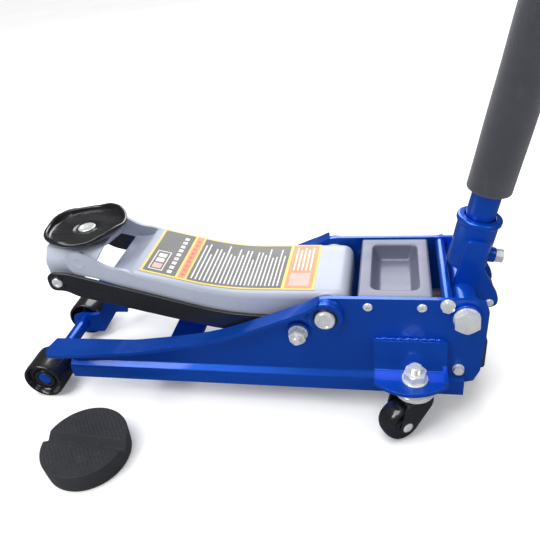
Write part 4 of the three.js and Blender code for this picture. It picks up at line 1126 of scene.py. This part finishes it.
def makeCasters():
    c = casterShape
    for word, side in sides:
        stem = middleOf(f"caster_stem_{word}")
        turn = Matrix.Rotation(math.radians(-side * c["yaw"]), 3, "Z")
        base = Vector((stem.x, stem.y, 0))

        def swung(x, y, z):
            return base + turn @ Vector((x, y, z))

        def swungShape(shape):
            return [swung(*p) for p in shape[0]], shape[1]
        across = turn @ Vector((0, 1, 0))
        hub = swung(-c["trail"], 0, c["radius"])
        half = c["width"] / 2
        tread = [tuple(p) for p in soften([
            (5.6, -half, 0.8), (11, -half, 0.8), (12, -half + 1.6, 1.2), (17, -half + 1.6, 1.6),
            (c["radius"] - 4.2, -half + 0.3, 2), (c["radius"] - 0.6, -half * 0.55, 6), (c["radius"], 0, 6),
            (c["radius"] - 0.6, half * 0.55, 6), (c["radius"] - 4.2, half - 0.3, 2), (17, half - 1.6, 1.6),
            (12, half - 1.6, 1.2), (11, half, 0.8), (5.6, half, 0.8)], steps=4)]
        makePiece(f"casterWheel_{word}", "wheel_enamel", f"caster_wheel_{word}",
                  [turned(tread, hub, across, 112)], [f"caster_wheel_{word}"], sharp=60)
        # the pressed fork: a crown under the race and two cheeks down to the axle
        cheek = soften([(-c["trail"] - 11, 18, 10), (-c["trail"] + 9, 14, 10), (15, 47, 8), (15, 59, 3),
                        (-22, 59, 4), (-24, 50, 8)], steps=6)
        shapes = []
        for flank in (-1, 1):
            shapes.append(swungShape(slab(cheek, flank * (c["cheek"] - c["wall"]), flank * c["cheek"])))
        crown = soften([(-20, -c["cheek"], 6), (15, -c["cheek"], 8), (15, c["cheek"], 8),
                        (-20, c["cheek"], 6)],
                       steps=6)
        shapes.append(swungShape(slab(crown, c["top"] - c["wall"], c["top"] + 0.8, "xy")))
        makePiece(f"casterFork_{word}", "fork_paint", f"caster_fork_{word}", shapes,
                  [f"caster_fork_{word}"], bevel=0.7)
        raceTop = boxOf(f"caster_fork_{word}")[1].z
        race = [tuple(p) for p in soften([
            (8.6, c["top"] + 0.8, 0.3), (19, c["top"] + 0.8, 2), (23.6, c["top"] + 3.4, 2.5),
            (23.8, c["top"] + 7.5, 2),
            (21.5, c["top"] + 9.5, 1.5), (21, raceTop - 2, 1), (22.6, raceTop - 0.6, 0.8), (20, raceTop, 1.2),
            (8.6, raceTop, 0.3)], steps=4)]
        makePiece(f"casterRace_{word}", "zinc_plate", f"caster_fork_{word}",
                  [turned(race, base, (0, 0, 1), 96)], sharp=50)
        rivet = []
        for flank in (-1, 1):
            rivet.append(turned(rounded([
                (0, 19.3, 0), (4.2, 19.3, 1.2), (6.6, 17.9, 0.6), (6.6, 17.6, 0), (0, 17.6, 0)]),
                hub, across * flank, 48))
        rivet.append(turned(softRod(4.9, -17.8, 17.8, 0.4), hub, across, 40))
        makePiece(f"casterAxle_{word}", "zinc_plate", f"caster_fork_{word}", rivet, [f"caster_axle_{word}"])
        plate = 79.0
        top = boxOf(f"caster_stem_{word}")[1].z
        bolt = [(0, c["top"] + 1.2), (7.9, c["top"] + 1.2), (7.9, plate + 14)]
        for k in range(6):
            bolt += [(7.9, plate + 14.2 + k), (7.3, plate + 14.7 + k)]
        bolt += [(7.2, top - 2.2)] + rounded([(7.2, top - 2.2, 0), (6.6, top, 3), (0, top, 0)])[1:]
        makePiece(f"casterStem_{word}", "zinc_plate", "chassis", [
            turned(bolt, base, (0, 0, 1), 48),
            turned(softRod(15, plate + 0.2, plate + 2.4, 0.6), base, (0, 0, 1)),
            hexHead(23.6, 10.4, (base.x, base.y, plate + 2.4), (0, 0, 1), 0.3)], [f"caster_stem_{word}"])


# weld beads along the bracket
weldShape = dict(radius=2.4, pitch=3.2, sway=0.5)


def weldBead(name, start, end):
    w = weldShape
    start, end = Vector(start), Vector(end)
    length = (end - start).length
    count = int(length / 0.8)
    route = [start.lerp(end, k / count) + Vector((0, 0, w["sway"] * math.sin(k * 0.55)))
             for k in range(count + 1)]

    def wide(t):
        taper = min(1.0, 6 * t + 0.35, 6 * (1 - t) + 0.35)
        return w["radius"] * taper * (0.88 + 0.12 * math.sin(2 * math.pi * t * length / w["pitch"]))
    makePiece(name, "blue_paint", "chassis", [tube(route, wide, 12)], sharp=80)


def makeWelds():
    for word, side in sides:
        low, high = boxOf(f"caster_bracket_{word}")
        y = side * 72.0
        weldBead(f"bracketWeldTop_{word}", (low.x + 1, y, high.z), (high.x - 1, y, high.z))
        weldBead(f"bracketWeldFront_{word}", (low.x - 0.5, y, 78), (low.x - 0.5, y, high.z - 1))


# loose rubber pad
padShape = dict(pitch=4.6, dimple=2.3, depth=0.8, border=4.0, grooveHalf=9.0, grooveDepth=9.0, turn=-3.0,
                dimpleTurn=38.0)


def makePad():
    s = padShape
    low, high = boxOf("rubber_pad")
    here = middleOf("rubber_pad")
    radius = (high.x - low.x) / 2
    height = high.z
    turn = math.radians(s["turn"])
    grid = math.radians(s["dimpleTurn"])

    def level(x, y):
        # how far the top lies below its highest face at a place on it
        across = abs(-x * math.sin(turn) + y * math.cos(turn))
        drop = max(0.0, s["grooveDepth"] * (1 - across / s["grooveHalf"]))
        r = math.hypot(x, y)
        if r < radius - s["border"] and across > s["grooveHalf"] + 1.2:
            u = x * math.cos(grid) + y * math.sin(grid)
            v = -x * math.sin(grid) + y * math.cos(grid)
            offU = abs((u / s["pitch"]) % 1 - 0.5) * s["pitch"]
            offV = abs((v / s["pitch"]) % 1 - 0.5) * s["pitch"]
            inside = max(offU, offV)
            half = s["dimple"] / 2
            drop += s["depth"] * max(0.0, min(1.0, (half - inside) / 0.45 + 1))
        return drop
    rings, steps = 96, 300
    points, faces = [], []
    for i in range(1, rings + 1):
        r = (radius - 1.6) * i / rings
        for k in range(steps):
            a = 2 * math.pi * k / steps
            x, y = r * math.cos(a), r * math.sin(a)
            points.append((here.x + x, here.y + y, height - level(x, y)))
    edge = [(radius - 0.9, 0.15), (radius - 0.35, 0.6), (radius - 0.1, 1.5), (radius - 0.15, 4),
            (radius - 0.5, 12), (radius - 1.0, 20), (radius - 1.5, height - 1.4),
            (radius - 2.0, height - 0.5), (radius - 2.6, height)]
    for r, down in edge:
        for k in range(steps):
            a = 2 * math.pi * k / steps
            x, y = r * math.cos(a), r * math.sin(a)
            groove = level(x * 1.001, y * 1.001)
            points.append((here.x + x, here.y + y,
                           max(0.0, height - down - groove * max(0.0, 1 - down / 14))))
    total = rings + len(edge)
    for i in range(total - 1):
        for k in range(steps):
            j = (k + 1) % steps
            faces.append((i * steps + k, i * steps + j, (i + 1) * steps + j, (i + 1) * steps + k))
    centre = len(points)
    points.append((here.x, here.y, height - level(0, 0)))
    points.append((here.x, here.y, 0))
    for k in range(steps):
        j = (k + 1) % steps
        faces.append((centre, j, k))
        faces.append((centre + 1, (total - 1) * steps + k, (total - 1) * steps + j))
    pad = makePiece("rubberPad", "pad_rubber", "pad", [(points, faces)], ["rubber_pad"], sharp=50)


makeAxle()
makeCrossRod()
makeMainPivot()
makeBolts()
makeLinkStuds()
makeTray()
makeHydraulics()
print("chassis and pump made")
armPath = makeLiftArm()
makeLabel(armPath)
makeLinks()
makeSaddle()
print("arm, links and saddle made")
makeSocket()
makeHandle()
makeFrontWheels()
makeCasters()
makeWelds()
makePad()
print("handle, wheels and pad made")


# floor, light and camera
stageShape = dict(
    floorHalf=40.0, backdrop=(0.93, 0.93, 0.935), backdropShade=(0.88, 0.88, 0.885), floorLift=0.16,
    mirrored=(0.05, 0.06, 0.085),
    worldLight=0.42, worldMirrored=0.06,  # the room as lit surfaces and as glossy ones see it
)
lightSet = [  # name, place, size, watts
    ("key", (-1.5, -1.6, 2.4), 1.2, 22.0),
    ("fill", (2.2, -1.0, 2.4), 1.4, 12.0),
    ("back", (-0.3, 2.7, 1.95), 2.4, 56.0),
    ("overhead", (0.1, 0.3, 3.2), 1.8, 14.0),
]
sunLight = dict(strength=1.6, softness=40.0, turn=(10.0, -14.0, 0.0))
cameraPlace = dict(x=486.08, y=-586.1, z=560.0, yaw=14.753, pitch=33.354, roll=8.019, lens=36.998)


def makeStage():
    mesh = bpy.data.meshes.new("floor")
    half = stageShape["floorHalf"]
    mesh.from_pydata([(-half, -half, 0), (half, -half, 0), (half, half, 0), (-half, half, 0)], [],
                     [(0, 1, 2, 3)])
    floor = bpy.data.objects.new("floor", mesh)
    floor.location.z = -0.0004
    bpy.context.scene.collection.objects.link(floor)
    n = Nodes("paleFloor")
    tone = n.mix(n.ramp(n.noise(3.0), 0.3, 0.7), stageShape["backdrop"], stageShape["backdropShade"])
    sight = n.add("ShaderNodeLightPath").outputs["Is Glossy Ray"]
    n.wire("Base Color", n.mix(sight, tone, stageShape["mirrored"]))
    n.set(Roughness=0.9, Emission_Strength=stageShape["floorLift"])
    n.wire("Emission Color", n.mix(sight, stageShape["backdrop"], (0.0, 0.0, 0.0)))
    mesh.materials.append(n.material)
    world = bpy.data.worlds.new("softRoom")
    bpy.context.scene.world = world
    world.use_nodes = True
    world.node_tree.nodes["Background"].inputs["Color"].default_value = (1, 1, 1, 1)
    tree = world.node_tree
    sight = tree.nodes.new("ShaderNodeLightPath")
    level = tree.nodes.new("ShaderNodeMapRange")
    level.inputs["To Min"].default_value = stageShape["worldLight"]
    level.inputs["To Max"].default_value = stageShape["worldMirrored"]
    tree.links.new(sight.outputs["Is Glossy Ray"], level.inputs["Value"])
    seen = tree.nodes.new("ShaderNodeMath")
    seen.operation = "MAXIMUM"
    tree.links.new(level.outputs["Result"], seen.inputs[0])
    tree.links.new(sight.outputs["Is Camera Ray"], seen.inputs[1])
    tree.links.new(seen.outputs["Value"], tree.nodes["Background"].inputs["Strength"])
    bpy.context.scene.view_settings.view_transform = "Standard"


def makeLights():
    sun = bpy.data.lights.new("softSun", "SUN")
    sun.energy = sunLight["strength"]
    sun.angle = math.radians(sunLight["softness"])
    lamp = bpy.data.objects.new("softSun", sun)
    lamp.rotation_euler = [math.radians(turn) for turn in sunLight["turn"]]
    bpy.context.scene.collection.objects.link(lamp)
    aim = (cadBox[0] + cadBox[1]) / 2
    aim.z = 0.12
    for name, place, size, watts in lightSet:
        data = bpy.data.lights.new(name, "AREA")
        data.shape = "DISK"
        data.size = size
        data.energy = watts
        lamp = bpy.data.objects.new(name, data)
        lamp.location = place
        lamp.rotation_euler = (aim - lamp.location).to_track_quat("-Z", "Y").to_euler()
        bpy.context.scene.collection.objects.link(lamp)


def makeCamera():
    p = cameraPlace
    yaw, pitch, roll = (math.radians(p[key]) for key in ("yaw", "pitch", "roll"))
    ahead = Vector((-math.sin(yaw) * math.cos(pitch), math.cos(yaw) * math.cos(pitch), -math.sin(pitch)))
    level = Vector((math.cos(yaw), math.sin(yaw), 0))
    down = ahead.cross(level)
    right = level * math.cos(roll) + down * math.sin(roll)
    up = level * math.sin(roll) - down * math.cos(roll)
    data = bpy.data.cameras.new("camera")
    data.lens = p["lens"]
    data.sensor_width = 36.0
    camera = bpy.data.objects.new("camera", data)
    turn = Matrix((right, up, -ahead)).transposed().to_4x4()
    camera.matrix_world = Matrix.Translation(origin + Vector((p["x"], p["y"], p["z"])) * mm) @ turn
    bpy.context.scene.collection.objects.link(camera)
    bpy.context.scene.camera = camera


makeStage()
makeLights()
makeCamera()
